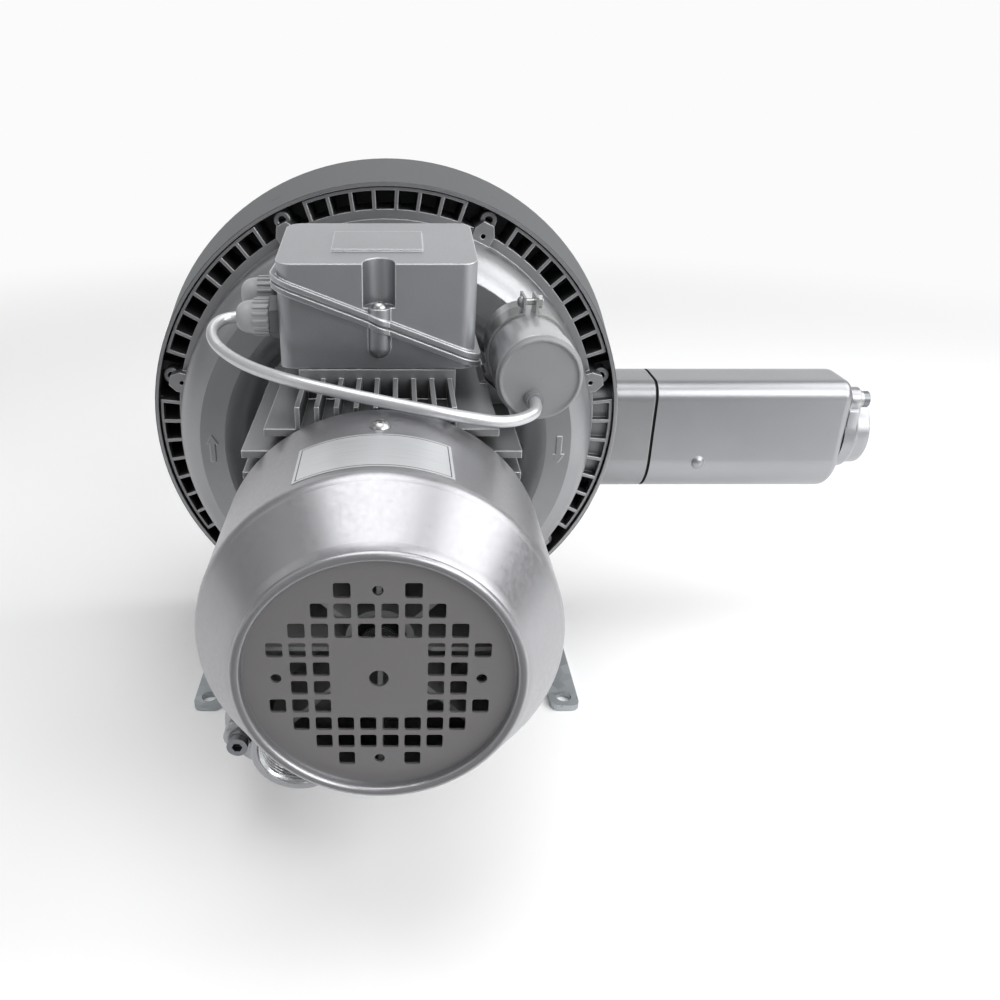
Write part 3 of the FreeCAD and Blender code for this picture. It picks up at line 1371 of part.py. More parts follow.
def over_can(shape):
    """From above the shaft to above the can, still upright."""
    copy = shape.copy()
    copy.translate(Vector(capacitor_x, 0, capacitor_z - capacitor_distance()))
    return copy


def capacitor_bracket():
    """Foot bolted to the frame's pad, with a saddle under the can."""
    distance = capacitor_distance()
    half = clamp_width / 2
    foot = block(-pad_width / 2, pad_width / 2, clamp_y - half, clamp_y + half, bracket_root_radius,
                 distance - 10)
    saddle = along_y(capacitor_radius + 4, clamp_y - half, clamp_y + half, z=distance)
    saddle = saddle.common(block(-15, 15, clamp_y - half, clamp_y + half, bracket_root_radius,
                                 distance - 15))
    body = foot.fuse(saddle).cut(along_y(capacitor_radius + seat_gap, clamp_y - 50, clamp_y + 50, z=distance))
    band_slot = along_y(capacitor_radius + clamp_thickness + 2 * seat_gap, clamp_y - half - 1,
                        clamp_y + half + 1, z=distance)
    return from_top(body.cut(band_slot))


def clamp_band():
    """Sheet band round the can with two ears drawn together by a screw."""
    distance = capacitor_distance()
    half = clamp_width / 2
    inner = capacitor_radius + seat_gap
    outer = inner + clamp_thickness
    band = along_y(outer, clamp_y - half, clamp_y + half, z=distance)
    band = band.cut(along_y(inner, clamp_y - half - 1, clamp_y + half + 1, z=distance))
    band = band.cut(block(-3, 3, clamp_y - 20, clamp_y + 20, distance + 10, distance + 60))
    ears = [block(x, x + clamp_thickness, clamp_y - half, clamp_y + half, distance + inner + 0.3,
                  distance + outer + 9) for x in (-3 - clamp_thickness, 3)]
    hole = cylinder(2.0 + bolt_gap, Vector(-10, clamp_y, distance + outer + 4.5), Vector(1, 0, 0), 20)
    return over_can(joined([band] + ears).cut(hole))


def clamp_screw():
    distance = capacitor_distance() + capacitor_radius + seat_gap + clamp_thickness + 4.5
    head = pan_screw(2.0, 13.0, 3.8, 2.8, Vector(-3 - clamp_thickness, clamp_y, distance), Vector(1, 0, 0))
    nut = hexagon(3.5, Vector(3 + clamp_thickness, clamp_y, distance), Vector(1, 0, 0), 3.2)
    return over_can(head.fuse(nut))


def all_pieces():
    """Every piece by its name, in the order of assembly."""
    pieces = {}
    front_outer, front_inner, front_balls = bearing(front_bearing_y)
    rear_outer, rear_inner, rear_balls = bearing(rear_bearing_y)
    pieces["foot_rails"] = foot_rails()
    pieces["cross_plate"] = cross_plate()
    pieces["casing_legs"] = casing_legs()
    pieces["leg_bolts"] = leg_bolts()
    pieces["leg_screws"] = leg_screws()
    pieces["casing_housing"] = casing_housing()
    pieces["casing_cover"] = casing_cover()
    pieces["cover_bolts"] = cover_bolts()
    pieces["motor_shaft"] = motor_shaft()
    pieces["rotor_core"] = rotor_core()
    pieces["rotor_cage"] = rotor_cage()
    pieces["front_bearing_outer_race"] = front_outer
    pieces["front_bearing_inner_race"] = front_inner
    pieces["front_bearing_balls"] = front_balls
    pieces["rear_bearing_outer_race"] = rear_outer
    pieces["rear_bearing_inner_race"] = rear_inner
    pieces["rear_bearing_balls"] = rear_balls
    pieces["shaft_seal"] = shaft_seal()
    pieces["impeller"] = impeller()
    pieces["impeller_key"], pieces["impeller_washer"], pieces["impeller_bolt"] = impeller_fastening()
    pieces["stator_core"] = stator_core()
    pieces["stator_windings"] = stator_windings()
    pieces["motor_frame"] = motor_frame()
    pieces["drive_end_shield"] = drive_end_shield()
    pieces["flange_bolts"] = flange_bolts()
    pieces["rear_end_shield"] = rear_end_shield()
    pieces["shield_screws"] = group(drive_screws() + rear_shield_screws())
    pieces["cooling_fan"] = cooling_fan()
    pieces["fan_circlip"] = fan_circlip()
    pieces["fan_cover"] = fan_cover()
    pieces["fan_cover_screws"] = fan_cover_screws()
    pieces["nameplate"] = nameplate()
    pieces["terminal_box_base"] = terminal_box_base()
    pieces["terminal_box_gasket"] = terminal_box_gasket()
    pieces["terminal_box_lid"] = terminal_box_lid()
    pieces["terminal_box_screws"] = terminal_box_screws()
    pieces["terminal_block"] = terminal_block()
    pieces["terminal_studs"] = terminal_studs()
    pieces["gland_bodies"], pieces["gland_nuts"], pieces["gland_seals"] = gland_solids()
    pieces["capacitor_can"] = capacitor_can()
    pieces["capacitor_cap"] = capacitor_cap()
    pieces["capacitor_grommet"] = capacitor_grommet()
    pieces["capacitor_bracket"] = capacitor_bracket()
    pieces["capacitor_clamp"] = clamp_band()
    pieces["clamp_screw"] = clamp_screw()
    pieces["capacitor_cable"] = capacitor_cable()
    for name, (place, tilt) in zip(("outlet", "inlet"), ports()):
        pieces[name + "_silencer"] = place(silencer_body(tilt))
        pieces[name + "_foam"] = place(silencer_foam(tilt))
        pieces[name + "_flange"] = place(port_flange(tilt))
    pieces["silencer_gaskets"] = group([place(silencer_gasket(tilt)) for place, tilt in ports()])
    pieces["silencer_screws"] = group([place(screw) for place, tilt in ports()
                                       for screw in silencer_screws(tilt)])
    pieces["port_flange_bolts"] = group([place(bolt) for place, tilt in ports()
                                         for bolt in port_bolts(tilt)])
    return pieces


def main():
    os.makedirs("parts", exist_ok=True)
    for name, shape in all_pieces().items():
        lifted = shape.copy()
        lifted.translate(Vector(0, 0, shaft_height))
        lifted.exportStep("parts/" + name + ".step")
        print(name, "solids", len(lifted.Solids), "valid", lifted.isValid(),
              "volume", round(lifted.Volume / 1000.0, 2))


main()
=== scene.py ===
"""Looks of the side channel blower: metres, +Z up, shaft along Y at 0.2 m, fan cover towards -Y."""
import bmesh
import bpy
import math
from mathutils import Matrix, Vector


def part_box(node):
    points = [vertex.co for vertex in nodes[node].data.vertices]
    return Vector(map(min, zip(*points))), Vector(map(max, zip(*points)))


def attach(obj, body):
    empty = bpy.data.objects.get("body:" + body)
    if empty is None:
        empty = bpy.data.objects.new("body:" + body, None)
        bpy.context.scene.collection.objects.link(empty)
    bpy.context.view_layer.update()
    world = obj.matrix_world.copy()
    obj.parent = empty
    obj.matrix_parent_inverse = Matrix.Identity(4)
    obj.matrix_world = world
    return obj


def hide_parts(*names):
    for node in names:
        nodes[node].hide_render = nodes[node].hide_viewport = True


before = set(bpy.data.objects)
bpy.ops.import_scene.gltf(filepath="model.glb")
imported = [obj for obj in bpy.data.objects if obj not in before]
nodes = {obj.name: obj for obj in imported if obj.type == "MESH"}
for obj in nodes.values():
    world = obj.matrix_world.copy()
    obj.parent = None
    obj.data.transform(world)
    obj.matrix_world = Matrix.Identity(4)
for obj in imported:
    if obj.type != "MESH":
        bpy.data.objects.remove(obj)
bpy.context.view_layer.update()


# View: a camera above and in front of the fan cover, looking down about 26 degrees, and a pale
# floor that turns up into a backdrop, under a soft overhead light. A grey cloth on the floor in front,
# seen only in reflections, keeps the upright lacquered faces from turning as pale as the floor.
lens_data = bpy.data.cameras.new("camera")
lens_data.sensor_width = 36.0
lens_data.lens = 31.57
lens_data.shift_x = 0.103
lens_data.clip_start = 0.01
camera = bpy.data.objects.new("camera", lens_data)
camera.location = (0.0083, -0.631, 0.4483)
camera_tilt = 64.05
camera.rotation_euler = (math.radians(camera_tilt), 0.0, 0.0)
bpy.context.scene.collection.objects.link(camera)
bpy.context.scene.camera = camera
bpy.context.scene.view_settings.view_transform = "Standard"


def linear(code):
    """Blender's linear colour for an sRGB hex value."""
    channels = [int(code[k:k + 2], 16) / 255 for k in (1, 3, 5)]
    return [c / 12.92 if c <= 0.04045 else ((c + 0.055) / 1.055) ** 2.4 for c in channels] + [1.0]


def add(tree, kind, settings=(), links=()):
    """A node with its settings, by attribute or by socket, and what is linked into it."""
    made = tree.nodes.new(kind)
    for name, value in dict(settings).items():
        if isinstance(name, str) and hasattr(made, name):
            setattr(made, name, value)
        else:
            made.inputs[name].default_value = value
    for name, source in dict(links).items():
        tree.links.new(source, made.inputs[name])
    return made


def start_finish(name, **shader):
    """A material with a Principled shader, its sockets set; returns it with its tree and shader."""
    material = bpy.data.materials.new(name)
    material.use_nodes = True
    tree = material.node_tree
    tree.nodes.clear()
    settings = {key.replace("_", " "): value for key, value in shader.items()}
    body = add(tree, "ShaderNodeBsdfPrincipled", settings)
    add(tree, "ShaderNodeOutputMaterial", {}, {"Surface": body.outputs[0]})
    return material, tree, body


def new_piece(name, points, faces, smooth_angle=35.0):
    """A mesh object from points in metres, shaded smooth below an angle, with its faces outwards."""
    mesh = bpy.data.meshes.new(name)
    mesh.from_pydata(points, [], faces)
    shape = bmesh.new()
    shape.from_mesh(mesh)
    bmesh.ops.recalc_face_normals(shape, faces=shape.faces)
    shape.to_mesh(mesh)
    shape.free()
    mesh.polygons.foreach_set("use_smooth", [True] * len(mesh.polygons))
    mesh.set_sharp_from_angle(angle=math.radians(smooth_angle))
    piece = bpy.data.objects.new(name, mesh)
    bpy.context.scene.collection.objects.link(piece)
    return piece


studio_width = 9.0
studio_near = -4.0
studio_bend = 3.2
studio_bend_radius = 1.2
studio_bend_steps = 12
studio_floor_z = -0.0006
studio_top_z = 5.0
far_white_from = 0.75
far_white_to = 2.0
far_white_middle_x = 0.05
paper, paper_tree, paper_shader = start_finish("pale matt backdrop paper", Roughness=0.9,
                                               Specular_IOR_Level=0.2, Base_Color=linear("#f6f6f6"))
paper_place = add(paper_tree, "ShaderNodeTexCoord")
paper_middle = add(paper_tree, "ShaderNodeMapping", {"Location": (-far_white_middle_x, 0.0, 0.0)},
                   {"Vector": paper_place.outputs["Object"]})
paper_away = add(paper_tree, "ShaderNodeVectorMath", {"operation": "LENGTH"},
                 {0: paper_middle.outputs[0]})
paper_far = add(paper_tree, "ShaderNodeMapRange",
                {"interpolation_type": "SMOOTHSTEP", "From Min": far_white_from, "From Max": far_white_to},
                {"Value": paper_away.outputs["Value"]})
seen = add(paper_tree, "ShaderNodeLightPath")
seen_mirrored = add(paper_tree, "ShaderNodeMath", {"operation": "MAXIMUM"},
                    {0: seen.outputs["Is Camera Ray"], 1: seen.outputs["Is Glossy Ray"]})
seen_at_all = add(paper_tree, "ShaderNodeMath", {"operation": "MAXIMUM"},
                  {0: seen_mirrored.outputs[0], 1: seen.outputs["Is Transmission Ray"]})
paper_share = add(paper_tree, "ShaderNodeMath", {"operation": "MULTIPLY"},
                  {0: paper_far.outputs[0], 1: seen_at_all.outputs[0]})
paper_white = add(paper_tree, "ShaderNodeEmission", {"Color": linear("#fbfbfb"), "Strength": 1.0})
paper_mixed = add(paper_tree, "ShaderNodeMixShader", {},
                  {0: paper_share.outputs[0], 1: paper_shader.outputs[0], 2: paper_white.outputs[0]})
paper_end = next(node for node in paper_tree.nodes if node.type == "OUTPUT_MATERIAL")
paper_tree.links.new(paper_mixed.outputs[0], paper_end.inputs["Surface"])
sweep = [(studio_near, studio_floor_z), (studio_bend, studio_floor_z)]
for step in range(1, studio_bend_steps + 1):
    turn = math.radians(90 * step / studio_bend_steps)
    sweep.append((studio_bend + studio_bend_radius * math.sin(turn),
                  studio_bend_radius * (1 - math.cos(turn)) + studio_floor_z))
sweep.append((studio_bend + studio_bend_radius, studio_top_z))
sheet_points = [(side * studio_width / 2, y, z) for y, z in sweep for side in (-1, 1)]
sheet_faces = [(2 * k, 2 * k + 1, 2 * k + 3, 2 * k + 2) for k in range(len(sweep) - 1)]
studio = new_piece("studio_floor", sheet_points, sheet_faces)
studio.data.materials.append(paper)

world = bpy.data.worlds.new("soft room")
bpy.context.scene.world = world
world.use_nodes = True
world.node_tree.nodes["Background"].inputs["Color"].default_value = linear("#f6f6f8")
world.node_tree.nodes["Background"].inputs["Strength"].default_value = 0.36
cloth_left, cloth_right = -0.9, 0.75
cloth_near, cloth_far = -2.8, -0.40
cloth = start_finish("grey studio cloth", Roughness=0.95, Base_Color=linear("#868686"))[0]
cloth_points = [(cloth_left, cloth_near, 0.0), (cloth_right, cloth_near, 0.0),
                (cloth_right, cloth_far, 0.0), (cloth_left, cloth_far, 0.0)]
flag = new_piece("studio_cloth", cloth_points, [(0, 1, 2, 3)])
flag.data.materials.append(cloth)
flag.visible_camera = False
flag.visible_diffuse = False
flag.visible_shadow = False
for name, place, aim, size, watts in (
        ("overhead_light", (-0.12, -0.15, 2.4), (0.05, 0.0, 0.2), 1.8, 30.0),
        ("front_light", (0.95, -1.3, 1.3), (0.05, 0.0, 0.2), 1.1, 14.0),
        ("left_light", (-2.0, -0.9, 1.5), (0.0, -0.1, 0.2), 1.2, 2.5),
        ("right_light", (1.55, 0.0, 1.55), (0.1, 0.0, 0.2), 1.3, 17.0),
        ("low_right_light", (1.5, -0.95, 0.8), (0.1, 0.0, 0.2), 0.8, 7.0)):
    lamp_data = bpy.data.lights.new(name, "AREA")
    lamp_data.size = size
    lamp_data.energy = watts
    lamp = bpy.data.objects.new(name, lamp_data)
    lamp.location = place
    lamp.rotation_euler = (Vector(aim) - Vector(place)).to_track_quat("-Z", "Y").to_euler()
    bpy.context.scene.collection.objects.link(lamp)


# Foot frame: two flat rails and a cross plate, cut from hot-dipped steel strip. The zinc has grown
# in flat crystals, a centimetre or so across, that differ a little in tone and gloss.
def dress(material, *names):
    """Gives CAD nodes their finish."""
    for name in names:
        node = nodes[name]
        if not node.material_slots:
            node.data.materials.append(material)
        for place in node.material_slots:
            place.material = material


def per_metre(millimetres):
    """A texture's scale on Object coordinates for a feature of that size."""
    return 1000.0 / millimetres


crystal_size = 9.0
strip_zinc, tree, shader = start_finish("hot-dipped zinc on steel strip", Metallic=0.9)
where = add(tree, "ShaderNodeTexCoord")
crystals = add(tree, "ShaderNodeTexVoronoi", {"Scale": per_metre(crystal_size)},
               {"Vector": where.outputs["Object"]})
crystal_tone = add(tree, "ShaderNodeSeparateColor", {}, {0: crystals.outputs["Color"]})
zinc_colour = add(tree, "ShaderNodeMix", {"data_type": "RGBA", 6: linear("#9a9fa2"), 7: linear("#b4b9bc")},
                  {0: crystal_tone.outputs[0]})
zinc_gloss = add(tree, "ShaderNodeMapRange", {"To Min": 0.34, "To Max": 0.5},
                 {"Value": crystal_tone.outputs[1]})
tree.links.new(zinc_colour.outputs[2], shader.inputs["Base Color"])
tree.links.new(zinc_gloss.outputs[0], shader.inputs["Roughness"])
dress(strip_zinc, "foot_rails", "cross_plate")


# Casing: housing, cover and legs are sand-cast aluminium, sprayed with silver lacquer after they
# were bolted up. The rim's outside and the pockets behind its slots are painted darker, as painted shade.
cloud_size = 55.0
masked_roughness = 0.6


def lacquer(name, colour, mottle_and_shade_colour, edge_highlight_colour=None, *, metallic, roughness, grain, depth,
            edge=0.0, shade_reach=0.0, mask=None, painted_shade_colour=None):
    """Sprayed silver lacquer over a rough skin; grain, depth, edge and reach are in millimetres.

    edge is the width of a band along sharp edges painted lighter, partly as wear and partly as a painted
    highlight, and reach the depth of hollows painted darker as painted shade, which a zero leaves out. mask
    draws, in the material's tree, where the coat is painted_shade_colour and matt, a painted shade.
    """
    material, tree, shader = start_finish(name, Metallic=metallic)
    where = add(tree, "ShaderNodeTexCoord").outputs["Object"]
    clouds = add(tree, "ShaderNodeTexNoise", {"Scale": per_metre(cloud_size), "Detail": 3.0},
                 {"Vector": where})
    skin = add(tree, "ShaderNodeTexNoise", {"Scale": per_metre(grain), "Detail": 3.0, "Roughness": 0.6},
               {"Vector": where})
    cover = add(tree, "ShaderNodeMapRange", {"From Min": 0.3, "From Max": 0.7, "To Min": 0.86},
                {"Value": clouds.outputs[0]}).outputs[0]
    # Painted shade: where ambient occlusion finds a hollow within reach, the coat turns to the dark colour.
    if shade_reach:
        ambient_shade = add(tree, "ShaderNodeAmbientOcclusion", {"samples": 8, "Distance": shade_reach / 1000.0})
        unshaded_share = add(tree, "ShaderNodeMapRange", {"From Min": 0.1, "From Max": 0.6},
                         {"Value": ambient_shade.outputs["AO"]})
        cover = add(tree, "ShaderNodeMath", {"operation": "MULTIPLY"},
                    {0: unshaded_share.outputs[0], 1: cover}).outputs[0]
    coat = add(tree, "ShaderNodeMix", {"data_type": "RGBA", 6: linear(mottle_and_shade_colour), 7: linear(colour)},
               {0: cover}).outputs[2]
    gloss = add(tree, "ShaderNodeMapRange", {"From Min": 0.3, "From Max": 0.7,
                                             "To Min": roughness - 0.04, "To Max": roughness + 0.06},
                {"Value": skin.outputs[0]}).outputs[0]
    bumps = add(tree, "ShaderNodeBump", {"Strength": 0.6, "Distance": depth / 1000.0},
                {"Height": skin.outputs[0]})
    # Partly a painted highlight, partly wear: near sharp edges the coat turns to the lighter colour.
    if edge:
        rounded = add(tree, "ShaderNodeBevel", {"samples": 4, "Radius": edge / 1000.0})
        flat = add(tree, "ShaderNodeNewGeometry")
        agree = add(tree, "ShaderNodeVectorMath", {"operation": "DOT_PRODUCT"},
                    {0: rounded.outputs[0], 1: flat.outputs["True Normal"]})
        bare = add(tree, "ShaderNodeMapRange", {"From Min": 0.99, "From Max": 0.9},
                   {"Value": agree.outputs["Value"]})
        coat = add(tree, "ShaderNodeMix", {"data_type": "RGBA", 7: linear(edge_highlight_colour)},
                   {0: bare.outputs[0], 6: coat}).outputs[2]
        tree.links.new(rounded.outputs[0], bumps.inputs["Normal"])
    # Painted shade: where the mask is 1 the coat takes the darker masked colour.
    if mask:
        share = mask(tree, where)
        coat = add(tree, "ShaderNodeMix", {"data_type": "RGBA", 7: linear(painted_shade_colour)},
                   {0: share, 6: coat}).outputs[2]
        gloss = add(tree, "ShaderNodeMix", {"data_type": "FLOAT", 3: masked_roughness},
                    {0: share, 2: gloss}).outputs[0]
    tree.links.new(coat, shader.inputs["Base Color"])
    tree.links.new(gloss, shader.inputs["Roughness"])
    tree.links.new(bumps.outputs[0], shader.inputs["Normal"])
    return material


shaft_height = 0.2
rim_front_y = 0.014
rim_rear_y = 0.084
rim_front_radius = 0.1805
rim_rear_radius = 0.190
rim_shade_from = 0.0009
rim_shade_full = 0.0004
pocket_inner_radius = 0.1624
pocket_outer_radius = 0.1775
pocket_mouth_y = 0.0185
pocket_dark_y = 0.029
pocket_floor_y = 0.061
outlet_port_half = 0.0492
outlet_port_z = 0.181
outlet_side_x = 0.05
soft_edge = 0.0005
hard_edge = 0.0002


def coverage(tree, *limits):
    """A mask, 1 where each value is past its limit; a limit is (value, where 0 ends, where 1 begins)."""
    mask = None
    for value, start, full in limits:
        share = add(tree, "ShaderNodeMapRange", {"From Min": start, "From Max": full},
                    {"Value": value}).outputs[0]
        mask = share if mask is None else add(tree, "ShaderNodeMath", {"operation": "MULTIPLY"},
                                              {0: mask, 1: share}).outputs[0]
    return mask


def from_shaft(tree, where):
    """The distance of a surface point from the shaft's middle line."""
    flat = add(tree, "ShaderNodeMapping",
               {"Location": (0.0, 0.0, -shaft_height), "Scale": (1.0, 0.0, 1.0)}, {"Vector": where})
    return add(tree, "ShaderNodeVectorMath", {"operation": "LENGTH"},
               {0: flat.outputs[0]}).outputs["Value"]


def rim_painted_shade(tree, where):
    """Painted shade: the rim's outside, away from the outlet port, and the insides of the pockets."""
    apart = add(tree, "ShaderNodeSeparateXYZ", {}, {0: where})
    radius = from_shaft(tree, where)
    slope = (rim_rear_radius - rim_front_radius) / (rim_rear_y - rim_front_y)
    grown = add(tree, "ShaderNodeMath", {"operation": "MULTIPLY_ADD", 1: -slope, 2: slope * rim_front_y},
                {0: apart.outputs["Y"]})
    upright = add(tree, "ShaderNodeMath", {"operation": "ADD"}, {0: radius, 1: grown.outputs[0]}).outputs[0]
    height = add(tree, "ShaderNodeMath", {"operation": "SUBTRACT", 1: outlet_port_z},
                 {0: apart.outputs["Z"]})
    off_port = add(tree, "ShaderNodeMath", {"operation": "ABSOLUTE"}, {0: height.outputs[0]}).outputs[0]
    beside = coverage(tree, (off_port, outlet_port_half, outlet_port_half + soft_edge))
    leftwards = coverage(tree, (apart.outputs["X"], outlet_side_x, 0.0))
    away = add(tree, "ShaderNodeMath", {"operation": "MAXIMUM"}, {0: beside, 1: leftwards}).outputs[0]
    pocket = coverage(tree, (radius, pocket_inner_radius - hard_edge, pocket_inner_radius),
                      (upright, pocket_outer_radius + 2 * hard_edge, pocket_outer_radius),
                      (apart.outputs["Y"], pocket_mouth_y, pocket_dark_y),
                      (apart.outputs["Y"], pocket_floor_y, pocket_floor_y - soft_edge))
    band = coverage(tree, (upright, rim_front_radius - rim_shade_from, rim_front_radius - rim_shade_full),
                    (away, 0.0, 1.0))
    return add(tree, "ShaderNodeMath", {"operation": "MAXIMUM"}, {0: band, 1: pocket}).outputs[0]


casing_lacquer = lacquer("silver lacquer on sand-cast aluminium", "#9c9d9f", "#57585a", "#c3c4c6",
                         metallic=0.85, roughness=0.35, grain=1.6, depth=0.14, edge=1.1, shade_reach=18.0,
                         mask=rim_painted_shade, painted_shade_colour="#6b6d6f")
dress(casing_lacquer, "casing_housing")
plain_casting = lacquer("silver lacquer on the cover and legs", "#9c9d9f", "#57585a", "#c3c4c6",
                        metallic=0.85, roughness=0.37, grain=1.6, depth=0.14, edge=1.1, shade_reach=18.0)
dress(plain_casting, "casing_cover", "casing_legs")


# Screws and bolts of the casing: cold-forged steel, bright zinc plated and passivated, which leaves
# a faint yellowish bloom and fine scratches from the key.
bloom_size = 6.0
scratch_size = 0.7
screw_edge = 0.3
scratch_depth = 0.05


def plated(name, colour, bloom, roughness):
    """Zinc plate with a bloom that drifts over the parts."""
    material, tree, shader = start_finish(name, Metallic=1.0)
    where = add(tree, "ShaderNodeTexCoord").outputs["Object"]
    drift = add(tree, "ShaderNodeTexNoise", {"Scale": per_metre(bloom_size), "Detail": 2.0},
                {"Vector": where})
    scratch = add(tree, "ShaderNodeTexNoise", {"Scale": per_metre(scratch_size), "Detail": 2.0},
                  {"Vector": where})
    tint = add(tree, "ShaderNodeMix", {"data_type": "RGBA", 6: linear(colour), 7: linear(bloom)},
               {0: drift.outputs[0]})
    gloss = add(tree, "ShaderNodeMapRange", {"To Min": roughness - 0.1, "To Max": roughness + 0.14},
                {"Value": scratch.outputs[0]})
    rounded = add(tree, "ShaderNodeBevel", {"samples": 4, "Radius": screw_edge / 1000.0})
    bumps = add(tree, "ShaderNodeBump", {"Strength": 0.3, "Distance": scratch_depth / 1000.0},
                {"Height": scratch.outputs[0], "Normal": rounded.outputs[0]})
    tree.links.new(tint.outputs[2], shader.inputs["Base Color"])
    tree.links.new(gloss.outputs[0], shader.inputs["Roughness"])
    tree.links.new(bumps.outputs[0], shader.inputs["Normal"])
    return material


zinc_plate = plated("bright zinc plated steel", "#a9abad", "#b1b1ad", roughness=0.3)
dress(zinc_plate, "leg_bolts", "leg_screws", "cover_bolts")


# Spring washers: square wire wound one turn, cut, sprung open and zinc plated. One lies under the
# head of each leg bolt, cover bolt and port bolt.
def new_tree(name, inputs):
    """An empty tree with named inputs and one geometry output; returns it with its input node."""
    tree = bpy.data.node_groups.new(name, "GeometryNodeTree")
    for label, kind in inputs:
        tree.interface.new_socket(label, in_out="INPUT", socket_type="NodeSocket" + kind)
    tree.interface.new_socket("Piece", in_out="OUTPUT", socket_type="NodeSocketGeometry")
    return tree, add(tree, "NodeGroupInput")


def finish_tree(tree, given, made):
    """Ends a tree: real geometry with flat faces, in the finish that was asked for."""
    real = add(tree, "GeometryNodeRealizeInstances", {}, {"Geometry": made})
    smooth = add(tree, "GeometryNodeSetShadeSmooth", {"Shade Smooth": False}, {"Geometry": real.outputs[0]})
    done = add(tree, "GeometryNodeSetMaterial", {},
               {"Geometry": smooth.outputs[0], "Material": given.outputs["Finish"]})
    add(tree, "NodeGroupOutput", {}, {"Piece": done.outputs[0]})


def grow(name, mesh, tree, **inputs):
    """A piece made by a tree from a mesh, turned into a plain mesh."""
    piece = bpy.data.objects.new(name, mesh)
    bpy.context.scene.collection.objects.link(piece)
    growth = piece.modifiers.new("growth", "NODES")
    growth.node_group = tree
    for item in tree.interface.items_tree:
        if item.in_out == "INPUT" and item.name in inputs:
            growth[item.identifier] = inputs[item.name]
    seen_now = bpy.context.evaluated_depsgraph_get()
    grown = bpy.data.meshes.new_from_object(piece.evaluated_get(seen_now), depsgraph=seen_now)
    piece.modifiers.clear()
    piece.data = grown
    return piece


washer_tree, given = new_tree("spring washer", (
    ("Geometry", "Geometry"), ("Radius", "Float"), ("Width", "Float"), ("Thickness", "Float"),
    ("Turns", "Float"), ("Rise", "Float"), ("Finish", "Material")))
wire_line = add(washer_tree, "GeometryNodeCurveSpiral", {"Resolution": 36},
                {"Rotations": given.outputs["Turns"], "Start Radius": given.outputs["Radius"],
                 "End Radius": given.outputs["Radius"], "Height": given.outputs["Rise"]})
wire_section = add(washer_tree, "GeometryNodeCurvePrimitiveQuadrilateral", {},
                   {"Width": given.outputs["Thickness"], "Height": given.outputs["Width"]})
wire = add(washer_tree, "GeometryNodeCurveToMesh", {"Fill Caps": True},
           {"Curve": wire_line.outputs[0], "Profile Curve": wire_section.outputs[0]})
finish_tree(washer_tree, given, wire.outputs[0])

seat_tree, given = new_tree("parts on their seats", (
    ("Geometry", "Geometry"), ("Part", "Object"), ("Size", "Float"), ("Finish", "Material")))
seat_part = add(seat_tree, "GeometryNodeObjectInfo", {}, {"Object": given.outputs["Part"]})
seat_turn = add(seat_tree, "GeometryNodeInputNamedAttribute", {"data_type": "FLOAT_VECTOR", "Name": "turn"})
seated = add(seat_tree, "GeometryNodeInstanceOnPoints", {},
             {"Points": given.outputs["Geometry"], "Instance": seat_part.outputs["Geometry"],
              "Rotation": seat_turn.outputs["Attribute"], "Scale": given.outputs["Size"]})
finish_tree(seat_tree, given, seated.outputs[0])


def repeated(name, seats, part, finish):
    """The part, modelled about +Z, once on each seat: a place in metres, an axis and a turn about it."""
    mesh = bpy.data.meshes.new(name + "_seats")
    mesh.from_pydata([tuple(place) for place, axis, turn in seats], [], [])
    turned = mesh.attributes.new("turn", "FLOAT_VECTOR", "POINT")
    for item, (place, axis, turn) in zip(turned.data, seats):
        stand = Vector(axis).to_track_quat("Z", "Y").to_matrix() @ Matrix.Rotation(turn, 3, "Z")
        item.vector = stand.to_euler()
    piece = grow(name, mesh, seat_tree, Part=part, Size=1.0, Finish=finish)
    bpy.data.objects.remove(part)
    return piece


washer_slack = 0.25
washer_turns = 0.955
washer_rise = 0.3


def spring_washer(bolt_radius, width, thickness):
    """One washer for a bolt, lying on z = 0; sizes in millimetres."""
    sizes = {"Radius": (bolt_radius + washer_slack + width / 2) / 1000, "Width": width / 1000,
             "Thickness": thickness / 1000, "Turns": washer_turns, "Rise": washer_rise / 1000}
    washer = grow("washer_pattern", bpy.data.meshes.new("washer_pattern"), washer_tree, Finish=zinc_plate,
                  **sizes)
    washer.data.transform(Matrix.Translation((0.0, 0.0, thickness / 2000)))
    return washer


def about_shaft(radius, y, degrees):
    """A place at a radius from the shaft, at an angle clockwise from the top."""
    turn = math.radians(degrees)
    return (radius * math.sin(turn), y, shaft_height + radius * math.cos(turn))


lug_count = 7
lug_circle = 0.160
lug_angles = [180.0 + 360.0 * k / lug_count for k in range(lug_count)]
leg_seat_z = 0.020
leg_middle_y = 0.049
leg_bolt_x = (0.0945, 0.1355)
leg_gap_turn = 0.8
leg_seats = [((side * x, leg_middle_y, leg_seat_z), (0.0, 0.0, 1.0), leg_gap_turn * k)
             for side in (-1, 1) for k, x in enumerate(leg_bolt_x)]
cover_seat_y = 0.076
cover_seats = [(about_shaft(lug_circle, cover_seat_y, angle), (0.0, 1.0, 0.0), math.radians(3 * angle))
               for angle in lug_angles]
leg_washer_sizes = {"bolt_radius": 4.0, "width": 4.0, "thickness": 2.0}
cover_washer_sizes = {"bolt_radius": 3.0, "width": 2.9, "thickness": 1.5}
for name, seats, sizes in (("leg_bolt_washers", leg_seats, leg_washer_sizes),
                           ("cover_bolt_washers", cover_seats, cover_washer_sizes)):
    washers = repeated(name, seats, spring_washer(**sizes), zinc_plate)
    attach(washers, "blower")


